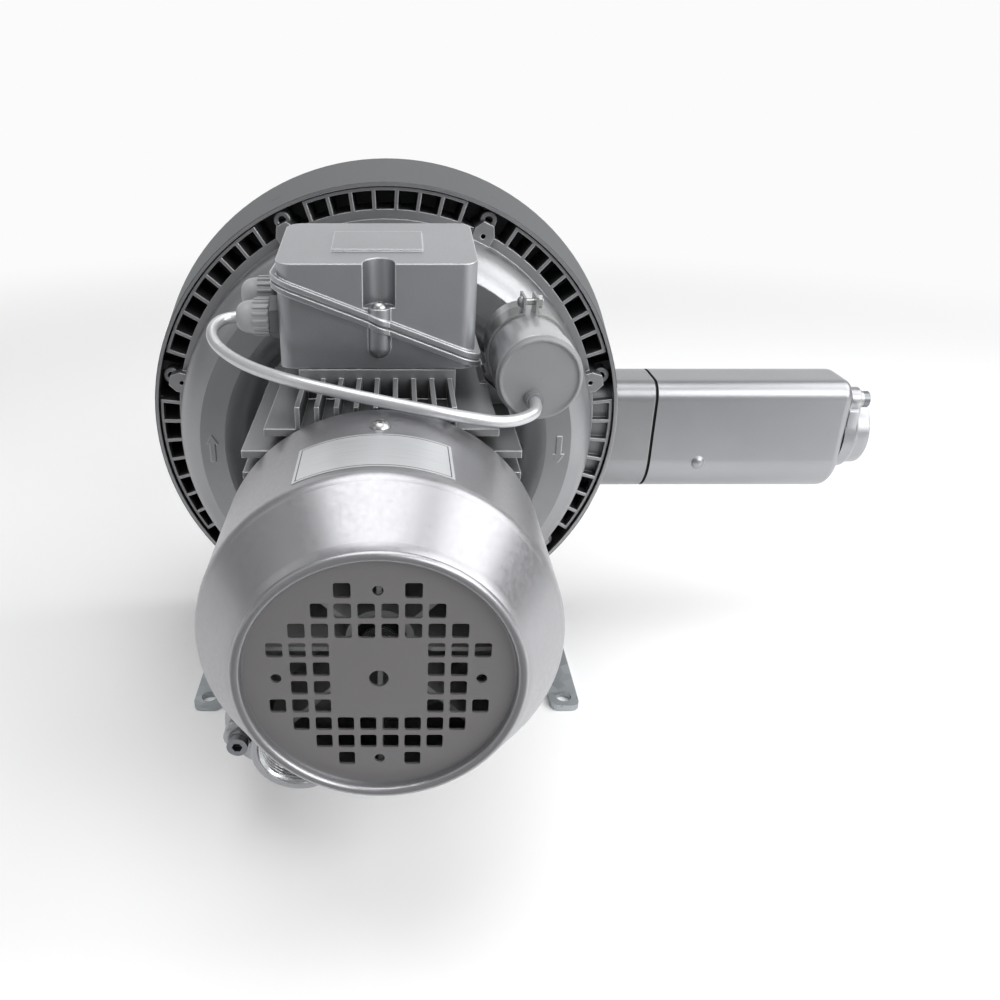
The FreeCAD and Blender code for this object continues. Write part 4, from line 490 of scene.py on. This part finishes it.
# Rim ears: a cast eye outside each lug, drilled for a guard that this blower doesn't carry. They sit
# deep between the ribs, where the casing's lacquer paints them darker as painted shade.
def ring_faces(count, rings, first=0):
    """Faces that join closed rings of count points, and the last ring to the first."""
    return [(first + k * count + j, first + k * count + (j + 1) % count,
             first + (k + 1) % rings * count + (j + 1) % count, first + (k + 1) % rings * count + j)
            for k in range(rings) for j in range(count)]


def lathed(profile, around, place):
    """Points and faces of a shape turned about X: profile pairs are (along, radius) in metres."""
    points = []
    for k in range(around):
        turn = 2 * math.pi * k / around
        points += [tuple(place @ Vector((x, radius * math.cos(turn), radius * math.sin(turn))))
                   for x, radius in profile]
    return points, ring_faces(len(profile), around)


ear_circle = 0.1705
ear_front_y = 0.0215
eye_radius = 0.0062
eye_hole = 0.0027
eye_depth = 0.010
eye_sides = 28
eye_hole_edge = 0.0004
eye_outer_edge = 0.0007
eye_profile = [(0.0, eye_hole + eye_hole_edge), (0.0, eye_radius - eye_outer_edge),
               (-eye_outer_edge, eye_radius), (-eye_depth, eye_radius), (-eye_depth, eye_hole),
               (-eye_hole_edge, eye_hole)]
along_z = Matrix.Rotation(math.radians(-90), 4, "Y")
eye = new_piece("eye_pattern", *lathed(eye_profile, eye_sides, along_z))
eyes = repeated("rim_ears", [(about_shaft(ear_circle, ear_front_y, angle), (0.0, -1.0, 0.0), 0.0)
                             for angle in lug_angles], eye, casing_lacquer)
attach(eyes, "blower")


# Rotor: ground steel shaft, stacked laminations with a cast cage, ball bearings and the impeller.
# Turned and ground faces keep fine rings about the shaft; the impeller is a blasted die casting.
ring_texture_span = 6.3


def rings_about_shaft(tree, where, pitch, **pattern):
    """Light and dark rings about the shaft, each about a pitch in millimetres wide."""
    centred = add(tree, "ShaderNodeMapping", {"Location": (0.0, 0.0, -shaft_height)}, {"Vector": where})
    return add(tree, "ShaderNodeTexWave", {"wave_type": "RINGS", "rings_direction": "Y",
                                           "Scale": per_metre(pitch) / ring_texture_span, **pattern},
               {"Vector": centred.outputs[0]}).outputs["Fac"]


tool_mark_depth = 0.04
stain_size = 20.0
stain_tone = 0.82


def turned_metal(name, colour, roughness, pitch, metallic=1.0):
    """Metal turned or ground about the shaft, with tool marks of a pitch in millimetres."""
    material, tree, shader = start_finish(name, Metallic=metallic)
    where = add(tree, "ShaderNodeTexCoord").outputs["Object"]
    rings = rings_about_shaft(tree, where, pitch, Distortion=0.4, Detail=2.0)
    gloss = add(tree, "ShaderNodeMapRange", {"To Min": roughness - 0.05, "To Max": roughness + 0.08},
                {"Value": rings})
    bumps = add(tree, "ShaderNodeBump", {"Strength": 0.25, "Distance": tool_mark_depth / 1000.0},
                {"Height": rings})
    tone = add(tree, "ShaderNodeTexNoise", {"Scale": per_metre(stain_size), "Detail": 2.0},
               {"Vector": where})
    light = linear(colour)
    stained = [c * stain_tone for c in light[:3]] + [1.0]
    tint = add(tree, "ShaderNodeMix", {"data_type": "RGBA", 6: light, 7: stained}, {0: tone.outputs[0]})
    tree.links.new(tint.outputs[2], shader.inputs["Base Color"])
    tree.links.new(gloss.outputs[0], shader.inputs["Roughness"])
    tree.links.new(bumps.outputs[0], shader.inputs["Normal"])
    return material


ground_steel = turned_metal("ground carbon steel", "#a8abae", roughness=0.28, pitch=0.6)
bearing_steel = turned_metal("ground and hardened bearing steel", "#b6b8ba", roughness=0.18, pitch=0.5)
electrical_steel = turned_metal("stacked electrical steel", "#6f7376", roughness=0.46, pitch=0.5,
                                metallic=0.85)
cast_bars = turned_metal("die-cast aluminium cage", "#b7b9ba", roughness=0.42, pitch=1.2)
dress(ground_steel, "motor_shaft", "impeller_key", "impeller_washer", "impeller_bolt")
dress(bearing_steel, "front_bearing_outer_race", "front_bearing_inner_race", "front_bearing_balls",
      "rear_bearing_outer_race", "rear_bearing_inner_race", "rear_bearing_balls")
dress(electrical_steel, "rotor_core", "stator_core")
dress(cast_bars, "rotor_cage")
blasted_alloy = lacquer("blasted die-cast aluminium", "#b4b6b7", "#8d8f90", "#c4c6c7",
                        metallic=0.85, roughness=0.5, grain=0.9, depth=0.08, edge=0.4, shade_reach=8.0)
dress(blasted_alloy, "impeller")


# Stator windings and the seals: enamelled copper wire under a baked amber varnish, and moulded
# nitrile rubber, matt black and slightly dusty. The two seals that show outside took some overspray.
wire_pitch = 1.1
wire_depth = 0.3
varnished_copper, tree, shader = start_finish("varnished copper wire", Metallic=0.6, Roughness=0.34,
                                              Coat_Weight=0.5, Coat_Roughness=0.15)
where = add(tree, "ShaderNodeTexCoord").outputs["Object"]
strands = rings_about_shaft(tree, where, wire_pitch, Distortion=1.5)
copper = add(tree, "ShaderNodeMix", {"data_type": "RGBA", 6: linear("#5e2a12"), 7: linear("#b5652f")},
             {0: strands})
raised = add(tree, "ShaderNodeBump", {"Strength": 0.8, "Distance": wire_depth / 1000.0},
             {"Height": strands})
tree.links.new(copper.outputs[2], shader.inputs["Base Color"])
tree.links.new(raised.outputs[0], shader.inputs["Normal"])
dress(varnished_copper, "stator_windings")


mottle_size = 18.0


def moulded(name, colour, second_colour, roughness, grain, depth, edge=0.5):
    """Moulded plastic or rubber with a fine spark-eroded grain, sizes in millimetres."""
    material, tree, shader = start_finish(name)
    where = add(tree, "ShaderNodeTexCoord").outputs["Object"]
    grains = add(tree, "ShaderNodeTexNoise", {"Scale": per_metre(grain), "Detail": 3.0}, {"Vector": where})
    drift = add(tree, "ShaderNodeTexNoise", {"Scale": per_metre(mottle_size), "Detail": 2.0},
                {"Vector": where})
    tint = add(tree, "ShaderNodeMix", {"data_type": "RGBA", 6: linear(colour), 7: linear(second_colour)},
               {0: drift.outputs[0]})
    gloss = add(tree, "ShaderNodeMapRange", {"To Min": roughness - 0.07, "To Max": roughness + 0.09},
                {"Value": grains.outputs[0]})
    rounded = add(tree, "ShaderNodeBevel", {"samples": 4, "Radius": edge / 1000.0})
    bumps = add(tree, "ShaderNodeBump", {"Strength": 0.4, "Distance": depth / 1000.0},
                {"Height": grains.outputs[0], "Normal": rounded.outputs[0]})
    tree.links.new(tint.outputs[2], shader.inputs["Base Color"])
    tree.links.new(gloss.outputs[0], shader.inputs["Roughness"])
    tree.links.new(bumps.outputs[0], shader.inputs["Normal"])
    return material


nitrile = moulded("moulded nitrile rubber", "#1d1e1f", "#2a2b2c", roughness=0.62, grain=0.8, depth=0.05)
dress(nitrile, "shaft_seal", "silencer_gaskets", "gland_seals")
sprayed_rubber = moulded("nitrile rubber with silver overspray", "#86888a", "#6f7173", roughness=0.5,
                         grain=0.8, depth=0.05)
dress(sprayed_rubber, "terminal_box_gasket", "capacitor_grommet")


# Motor housing: die-cast fins, plinth and end shields under the same silver lacquer, painted darker
# between the fins as painted shade and lighter along their tops, partly wear and partly a painted
# highlight.
motor_lacquer = lacquer("silver lacquer on die-cast aluminium", "#a3a4a6", "#434446", "#e0e1e3",
                        metallic=0.8, roughness=0.38, grain=1.1, depth=0.07, edge=0.9, shade_reach=16.0)
dress(motor_lacquer, "motor_frame", "drive_end_shield", "rear_end_shield")
dress(zinc_plate, "shield_screws", "flange_bolts")


# Cooling fan and its clip: pale grey glass-filled nylon, moulded in one, held by a phosphated
# spring-steel circlip.
fan_nylon = moulded("glass-filled nylon", "#c4c5c5", "#b4b5b5", roughness=0.4, grain=0.9, depth=0.05)
dress(fan_nylon, "cooling_fan")
spring_steel = turned_metal("phosphated spring steel", "#3b3c3d", roughness=0.45, pitch=0.6)
dress(spring_steel, "fan_circlip")


# Fan cover: deep-drawn steel sheet, sprayed with the smoothest coat of the silver lacquer. It has
# long soft reflections and a fine orange peel, and is matt and painted darker, as painted shade, on the
# recessed plate with the holes.
grille_edge_radius = 0.0625
grille_edge_blur = 0.0006
grille_plane_y = -0.3045


def grille_painted_shade(tree, where):
    """The recessed plate inside the bead, painted darker there as painted shade."""
    apart = add(tree, "ShaderNodeSeparateXYZ", {}, {0: where})
    radius = from_shaft(tree, where)
    return coverage(tree, (radius, grille_edge_radius, grille_edge_radius - grille_edge_blur),
                    (apart.outputs["Y"], grille_plane_y, grille_plane_y - soft_edge))


cover_lacquer = lacquer("silver lacquer on deep-drawn steel", "#a4a4a7", "#98999b", metallic=0.88,
                        roughness=0.33, grain=2.6, depth=0.02, mask=grille_painted_shade, painted_shade_colour="#989697")
dress(cover_lacquer, "fan_cover")
dress(zinc_plate, "fan_cover_screws")


# Type plate: thin aluminium foil, brushed along its length and glued round the cover. It is blank
# but for a fine border printed just inside its edge.
brush_pitch = 0.5
brush_stretch = 0.03
brushed_foil, tree, shader = start_finish("brushed aluminium foil", Metallic=0.7)
where = add(tree, "ShaderNodeTexCoord").outputs["Object"]
drawn_out = add(tree, "ShaderNodeMapping", {"Scale": (brush_stretch, 1.0, brush_stretch)},
                {"Vector": where})
strokes = add(tree, "ShaderNodeTexNoise", {"Scale": per_metre(brush_pitch), "Detail": 3.0},
              {"Vector": drawn_out.outputs[0]})
stroke_tone = add(tree, "ShaderNodeMix", {"data_type": "RGBA", 6: linear("#c6c8ca"), 7: linear("#e6e8e9")},
                  {0: strokes.outputs[0]})
stroke_gloss = add(tree, "ShaderNodeMapRange", {"To Min": 0.28, "To Max": 0.46},
                   {"Value": strokes.outputs[0]})
foil_low, foil_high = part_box("nameplate")
border_inset = 0.0016
border_width = 0.0005
foil_place = add(tree, "ShaderNodeSeparateXYZ", {}, {0: where})
nearest = []
for label, axis in (("X", 0), ("Y", 1)):
    middle = (foil_low[axis] + foil_high[axis]) / 2
    off_middle = add(tree, "ShaderNodeMath", {"operation": "SUBTRACT", 1: middle},
                     {0: foil_place.outputs[label]})
    outwards = add(tree, "ShaderNodeMath", {"operation": "ABSOLUTE"}, {0: off_middle.outputs[0]})
    nearest.append(add(tree, "ShaderNodeMath", {"operation": "SUBTRACT", 0: foil_high[axis] - middle},
                       {1: outwards.outputs[0]}).outputs[0])
from_edge = add(tree, "ShaderNodeMath", {"operation": "MINIMUM"}, {0: nearest[0], 1: nearest[1]})
on_border = add(tree, "ShaderNodeMath", {"operation": "COMPARE", 1: border_inset, 2: border_width / 2},
                {0: from_edge.outputs[0]})
foil_colour = add(tree, "ShaderNodeMix", {"data_type": "RGBA", 7: linear("#4a4c4e")},
                  {0: on_border.outputs[0], 6: stroke_tone.outputs[2]})
tree.links.new(foil_colour.outputs[2], shader.inputs["Base Color"])
tree.links.new(stroke_gloss.outputs[0], shader.inputs["Roughness"])
dress(brushed_foil, "nameplate")


# Terminal box: two die-cast halves with a slanted rim. The lid's coat is painted paler than the
# base's, as painted light on the lid. Inside, a moulded block carries brass studs.
box_lacquer = lacquer("silver lacquer on pressure-cast box", "#95979a", "#58595b", "#e6e7e9",
                      metallic=0.85, roughness=0.36, grain=1.3, depth=0.13, edge=1.2, shade_reach=6.0)
dress(box_lacquer, "terminal_box_base")
# Painted light: the lid is a paler copy of the box's lacquer.
lit_lid_lacquer = lacquer("paler silver lacquer on the lid, as painted light", "#a3a5a8", "#606163", "#eaebed",
                      metallic=0.82, roughness=0.36, grain=1.3, depth=0.13, edge=1.2, shade_reach=6.0)
dress(lit_lid_lacquer, "terminal_box_lid")
dress(zinc_plate, "terminal_box_screws")
block_moulding = moulded("moulded phenolic", "#6f2a1c", "#5c2218", roughness=0.5, grain=0.7, depth=0.04)
dress(block_moulding, "terminal_block")
stud_brass = turned_metal("turned brass", "#b9995a", roughness=0.3, pitch=0.5)
dress(stud_brass, "terminal_studs")


# Cable glands: moulded nylon, with domed nuts that have grip flutes. The nuts are silvered by the
# overspray, and the bodies behind them are still bare.
def along_x_turn(axis):
    """The turn about an axis that lays a part's X along the blower's X."""
    stand = Vector(axis).to_track_quat("Z", "Y").to_matrix()
    flat = stand.inverted() @ Vector((1.0, 0.0, 0.0))
    return math.atan2(flat.y, flat.x)


gland_nylon = moulded("nylon with silver overspray", "#a8a9aa", "#949596", roughness=0.36, grain=0.8,
                      depth=0.05)
gland_body_nylon = moulded("bare grey nylon", "#55585a", "#6a6d6f", roughness=0.45, grain=0.8, depth=0.05)
dress(gland_body_nylon, "gland_bodies")
gland_places = ((-0.122, 0.320), (-0.098, 0.328))
nut_low, nut_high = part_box("gland_nuts")
nut_face_x = nut_high[0]
nut_length = nut_face_x - nut_low[0]
nut_radius = 0.0102
nut_mouth_radius = 0.0078
nut_edge = 0.0006
nut_sides = 64
grip_length = 0.0105
flute_count = 16
flute_width = 0.0019
flute_height = 0.0009
flute_root = 0.0006
flute_slope = 0.0005
dome_from = grip_length + 0.0008
dome_radius = nut_radius - 0.0005
dome_top_radius = 0.0040
dome_rows = 9
dome_arc = 84
cable_hole_radius = 0.0037
cable_hole_from = 0.0008
cable_hole_depth = 0.004
dome_profile = [(0.0, nut_mouth_radius), (0.0, nut_radius - nut_edge), (nut_edge, nut_radius),
                (grip_length, nut_radius), (dome_from, dome_radius)]
for row in range(1, dome_rows + 1):
    turn = math.radians(dome_arc * row / dome_rows)
    dome_profile.append((dome_from + (nut_length - dome_from) * math.sin(turn),
                         dome_top_radius + (dome_radius - dome_top_radius) * math.cos(turn)))
dome_profile += [(nut_length - cable_hole_from, cable_hole_radius),
                 (nut_length - cable_hole_depth, cable_hole_radius)]
nut_points = []
nut_faces = []
flute_seats = []
for y, z in gland_places:
    outwards = Matrix.Translation((nut_face_x, y, z)) @ Matrix.Rotation(math.pi, 4, "Z")
    points, faces = lathed(dome_profile, nut_sides, outwards)
    nut_faces += [tuple(corner + len(nut_points) for corner in face) for face in faces]
    nut_points += points
    for k in range(flute_count):
        turn = 2 * math.pi * k / flute_count
        radial = Vector((0.0, math.cos(turn), math.sin(turn)))
        place = Vector((nut_face_x - grip_length / 2, y, z)) + radial * nut_radius
        flute_seats.append((place, radial, along_x_turn(radial)))
domes = new_piece("domed_gland_nuts", nut_points, nut_faces)
domes.data.materials.append(gland_nylon)
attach(domes, "blower")
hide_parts("gland_nuts")
half_long = grip_length / 2 - nut_edge
half_wide = flute_width / 2
bar_rings = [(half_long, half_wide, -flute_root), (half_long, half_wide, flute_height / 2),
             (half_long - flute_slope, half_wide / 2, flute_height)]
bar_points = [(sx * long, sy * wide, z) for long, wide, z in bar_rings
              for sx, sy in ((-1, -1), (1, -1), (1, 1), (-1, 1))]
bar_faces = [(4 * j + k, 4 * j + (k + 1) % 4, 4 * j + 4 + (k + 1) % 4, 4 * j + 4 + k)
             for j in range(2) for k in range(4)] + [(8, 9, 10, 11), (3, 2, 1, 0)]
bar = new_piece("flute_pattern", bar_points, bar_faces)
flutes = repeated("gland_nut_flutes", flute_seats, bar, gland_nylon)
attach(flutes, "blower")


# Run capacitor: a drawn aluminium can, a grey plastic cap pressed into the wider drawn collar at its
# end, and a zinc plated band that a screw pulls tight on the bracket.
draw_pitch = 1.4
draw_stretch = 0.04
can_metal, tree, shader = start_finish("drawn aluminium can", Metallic=0.92)
where = add(tree, "ShaderNodeTexCoord").outputs["Object"]
drawn_lines = add(tree, "ShaderNodeMapping", {"Scale": (1.0, draw_stretch, 1.0)}, {"Vector": where})
draw_marks = add(tree, "ShaderNodeTexNoise", {"Scale": per_metre(draw_pitch), "Detail": 3.0},
                 {"Vector": drawn_lines.outputs[0]})
draw_tone = add(tree, "ShaderNodeMix", {"data_type": "RGBA", 6: linear("#bcbdbf"), 7: linear("#d0d1d3")},
                {0: draw_marks.outputs[0]})
draw_gloss = add(tree, "ShaderNodeMapRange", {"To Min": 0.24, "To Max": 0.42},
                 {"Value": draw_marks.outputs[0]})
tree.links.new(draw_tone.outputs[2], shader.inputs["Base Color"])
tree.links.new(draw_gloss.outputs[0], shader.inputs["Roughness"])
dress(can_metal, "capacitor_can")
cap_plastic = moulded("moulded polypropylene cap", "#8f9091", "#868788", roughness=0.4, grain=0.9,
                      depth=0.04, edge=0.9)
cap_low, cap_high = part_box("capacitor_cap")
cap_x = (cap_low[0] + cap_high[0]) / 2
cap_z = (cap_low[2] + cap_high[2]) / 2
cap_outer = (cap_high[0] - cap_low[0]) / 2
cap_deep = cap_high[1] - cap_low[1]
cap_rim_depth = 0.0042
cap_sides = 96
skirt_edge = 0.0003
skirt_wall = 0.0011
skirt_depth = 0.004
# Collar, rim and face from the side to the middle: depth under the rim's top and inset, in millimetres.
cap_steps = [(4.6, 0.0), (3.8, 0.2), (3.3, 0.7), (3.1, 1.3), (0.8, 1.5), (0.2, 1.9), (0.0, 2.5),
             (0.2, 3.1), (1.0, 3.4), (1.3, 3.9), (1.4, 4.8)]
face_front = cap_deep - 0.0014
face_back = cap_deep - 0.0030
face_middle = 0.0002
face_back_inset = 0.0020
cap_profile = [(0.0, cap_outer - skirt_wall), (0.0, cap_outer - skirt_edge), (skirt_edge, cap_outer)]
cap_profile += [(cap_deep - depth / 1000, cap_outer - inset / 1000) for depth, inset in cap_steps]
cap_profile += [(face_front, face_middle), (face_back, face_middle),
                (face_back, cap_outer - face_back_inset), (skirt_depth, cap_outer - skirt_wall)]
towards_front = (Matrix.Translation((cap_x, cap_high[1], cap_z))
                 @ Matrix.Rotation(math.radians(-90), 4, "Z"))
cap = new_piece("rimmed_capacitor_cap", *lathed(cap_profile, cap_sides, towards_front))
cap.data.materials.append(cap_plastic)
cap.data.materials.append(can_metal)
for face in cap.data.polygons:
    face.material_index = int(face.center.y > cap_low[1] + cap_rim_depth)
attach(cap, "blower")
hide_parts("capacitor_cap")
dress(zinc_plate, "capacitor_clamp", "clamp_screw")
dress(motor_lacquer, "capacitor_bracket")


# Lead: a round PVC-sheathed cable from the lower gland over the back edge of the fan cover to the
# capacitor's cap. It kept its bends and took some of the silver overspray.
lead_diameter = 0.0067
lead_route = [
    (-0.0808, -0.122, 0.320), (-0.0905, -0.122, 0.320), (-0.0979, -0.1304, 0.3175),
    (-0.0977, -0.142, 0.3125), (-0.0875, -0.1545, 0.307), (-0.0695, -0.172, 0.3038),
    (-0.042, -0.191, 0.302), (-0.008, -0.2005, 0.2974), (0.024, -0.206, 0.2926),
    (0.0465, -0.204, 0.2876), (0.064, -0.1975, 0.2826), (0.0775, -0.1885, 0.2818),
    (0.0852, -0.1795, 0.2832), (0.0852, -0.167, 0.2832)]
lead_curve = bpy.data.curves.new("capacitor_lead", "CURVE")
lead_curve.dimensions = "3D"
lead_curve.bevel_depth = lead_diameter / 2
lead_curve.bevel_resolution = 6
lead_curve.resolution_u = 16
lead_curve.use_fill_caps = True
lead_line = lead_curve.splines.new("NURBS")
lead_line.points.add(len(lead_route) - 1)
for point, place in zip(lead_line.points, lead_route):
    point.co = (*place, 1.0)
lead_line.order_u = 3
lead_line.use_endpoint_u = True
lead = bpy.data.objects.new("capacitor_lead", lead_curve)
bpy.context.scene.collection.objects.link(lead)
sheath = lacquer("silver overspray on a PVC sheath", "#cbccce", "#b3b4b6", metallic=0.7,
                 roughness=0.33, grain=1.2, depth=0.02)
lead_curve.materials.append(sheath)
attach(lead, "blower")
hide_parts("capacitor_cable")


# Silencers: cast aluminium hoods with a foam sleeve, lacquered like the casing but smoother, each
# held by four long screws. A painted shadow darkens the seam at the outlet hood's foot.
seam_shadow_width = 0.0008


def seam_shadow(tree, where):
    """Painted shadow in the seam at the outlet hood's foot, beside the gasket."""
    apart = add(tree, "ShaderNodeSeparateXYZ", {}, {0: where})
    foot_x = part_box("outlet_silencer")[0][0]
    return coverage(tree, (apart.outputs["X"], foot_x - hard_edge, foot_x - hard_edge / 2),
                    (apart.outputs["X"], foot_x + seam_shadow_width + hard_edge, foot_x + seam_shadow_width))


hood_lacquer = lacquer("silver lacquer on smooth-cast aluminium", "#a3a4a7", "#7f8082", "#cfd1d2",
                       metallic=0.88, roughness=0.33, grain=1.4, depth=0.03, edge=0.8, shade_reach=5.0,
                       mask=seam_shadow, painted_shade_colour="#1c1d1e")
dress(hood_lacquer, "outlet_silencer", "inlet_silencer")
dress(zinc_plate, "silencer_screws")
open_foam = moulded("open-cell polyurethane foam", "#3c3d3e", "#2e2f30", roughness=0.9, grain=1.6,
                    depth=0.6)
dress(open_foam, "outlet_foam", "inlet_foam")


# Port flanges: an oval cast plate with a round collar on each hood, bored and cut with a parallel
# pipe thread of 11 turns to the inch, which is bare metal. Two phosphated bolts hold each. Sizes
# are in millimetres, and the thread's flats and flanks in shares of its pitch.
thread_pitch = 2.309
thread_major = 23.9
thread_minor = 22.45
root_flat = 0.14
crest_flat = 0.22
flank_share = 0.32
lead_in_radius = thread_major + 0.5
lead_in_depth = 1.0
lead_in_slope = 0.9
back_bore_radius = 22.6
mouth_radius = 25.4
mouth_step = 0.8
mouth_depth = 0.3
collar_radius = 29.0
collar_length = 22.0
collar_edge = 1.2
collar_foot = ((3.2, -0.4), (1.4, 0.5), (0.3, 2.0), (0.0, 4.5))
collar_lip = ((0.0, collar_edge), (0.35, 0.4), (collar_edge, 0.0))
flange_thickness = 9.0
flange_edge = 0.8
flange_inner_radius = 27.5
bolt_spread = 37.6
ear_radius = 10.0
waist_radius = collar_radius + 2.0
flange_sides = 96
flange_smooth_angle = 40.0
rows_per_turn = 8


def thread_radius(share):
    """Bore radius at a share of the thread's pitch: flat root and crest, 55 degree flanks."""
    share = share % 1.0
    crest_from = root_flat + flank_share
    crest_to = crest_from + crest_flat
    if share < root_flat:
        return thread_major
    if share < crest_from:
        return thread_major - (thread_major - thread_minor) * (share - root_flat) / flank_share
    if share < crest_to:
        return thread_minor
    return thread_minor + (thread_major - thread_minor) * (share - crest_to) / flank_share


def port_flange(name, place):
    """Collar with its thread and the oval plate, modelled about X and moved by place."""
    bore_rows = int((collar_length - collar_edge) / thread_pitch * rows_per_turn)
    outside = [(0.0, back_bore_radius), (0.0, collar_radius + collar_foot[0][0])]
    outside += [(flange_thickness + x, collar_radius + out) for out, x in collar_foot]
    outside += [(collar_length - x, collar_radius - inset) for inset, x in collar_lip]
    outside += [(collar_length, mouth_radius), (collar_length - mouth_depth, mouth_radius - mouth_step)]
    turns = [2 * math.pi * k / flange_sides for k in range(flange_sides)]
    points = []
    for k, turn in enumerate(turns):
        rows = list(outside)
        for row in range(bore_rows, 0, -1):
            x = row * thread_pitch / rows_per_turn
            lead_in = lead_in_radius - max(0.0, collar_length - lead_in_depth - x) * lead_in_slope
            rows.append((x, max(thread_radius(row / rows_per_turn - k / flange_sides), lead_in)))
        points += [(x, radius * math.cos(turn), radius * math.sin(turn)) for x, radius in rows]
    faces = ring_faces(len(points) // flange_sides, flange_sides)
    rim = []
    side_turn = math.acos((waist_radius - ear_radius) / bolt_spread)
    for turn in turns:
        y, z = math.cos(turn), math.sin(turn)
        off_axis = math.acos(min(1.0, abs(z)))
        edge = waist_radius
        if off_axis < side_turn:
            edge = waist_radius / math.cos(side_turn - off_axis)
            if bolt_spread * abs(y) < ear_radius:
                ear = bolt_spread * abs(z) + math.sqrt(ear_radius ** 2 - (bolt_spread * y) ** 2)
                edge = min(edge, ear)
        rim.append((edge * y, edge * z))
    hole = [(flange_inner_radius * math.cos(turn), flange_inner_radius * math.sin(turn)) for turn in turns]
    loops = [(rim, 0.97, 0.0), (rim, 1.0, flange_edge), (rim, 1.0, flange_thickness - flange_edge),
             (rim, 0.985, flange_thickness - flange_edge / 4), (rim, 0.965, flange_thickness),
             (hole, 1.0, flange_thickness), (hole, 1.0, 0.0)]
    faces += ring_faces(flange_sides, len(loops), len(points))
    for loop, scale, x in loops:
        points += [(x, y * scale, z * scale) for y, z in loop]
    placed = [place @ Vector(point) / 1000.0 for point in points]
    return new_piece(name, [tuple(point) for point in placed], faces, flange_smooth_angle)


dark_steel = lacquer("phosphated alloy steel with overspray", "#84868a", "#151617", "#a6a8aa",
                     metallic=0.95, roughness=0.36, grain=0.8, depth=0.01, edge=0.3, shade_reach=5.0)
dress(dark_steel, "port_flange_bolts")
cut_thread = lacquer("bare aluminium thread", "#d2d4d5", "#8a8c8d", metallic=1.0,
                     roughness=0.28, grain=0.6, depth=0.01, shade_reach=6.0)
bore_limit = thread_major + 0.6
silencer_length = 157.0
outlet_x, outlet_y, outlet_z = 211.5, 58.0, 181.0
outlet_tilt = 32.0
inlet_x, inlet_y, inlet_z = -52.3, -39.5, 76.0
outlet_place = (Matrix.Translation((outlet_x + silencer_length, outlet_y, outlet_z))
                @ Matrix.Rotation(math.radians(outlet_tilt), 4, "X"))
inlet_place = (Matrix.Translation((inlet_x, inlet_y - silencer_length, inlet_z))
               @ Matrix.Rotation(math.radians(90), 4, "Y") @ Matrix.Rotation(math.radians(-90), 4, "Z"))
for name, place in (("outlet_flange", outlet_place), ("inlet_flange", inlet_place)):
    flange = port_flange("threaded_" + name, place)
    flange.data.materials.append(hood_lacquer)
    flange.data.materials.append(cut_thread)
    to_flange = place.inverted()
    for face in flange.data.polygons:
        centre = to_flange @ (face.center * 1000.0)
        face.material_index = int(math.hypot(centre.y, centre.z) < bore_limit)
    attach(flange, "blower")
    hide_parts(name)
port_gap_turn = 1.1
port_seats = [(place @ Vector((flange_thickness, 0.0, side * bolt_spread)) / 1000,
               place.to_3x3() @ Vector((1.0, 0.0, 0.0)), side * port_gap_turn)
              for place in (outlet_place, inlet_place) for side in (-1, 1)]
port_washer = spring_washer(bolt_radius=4.0, width=3.3, thickness=2.2)
port_washers = repeated("port_bolt_washers", port_seats, port_washer, zinc_plate)
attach(port_washers, "blower")
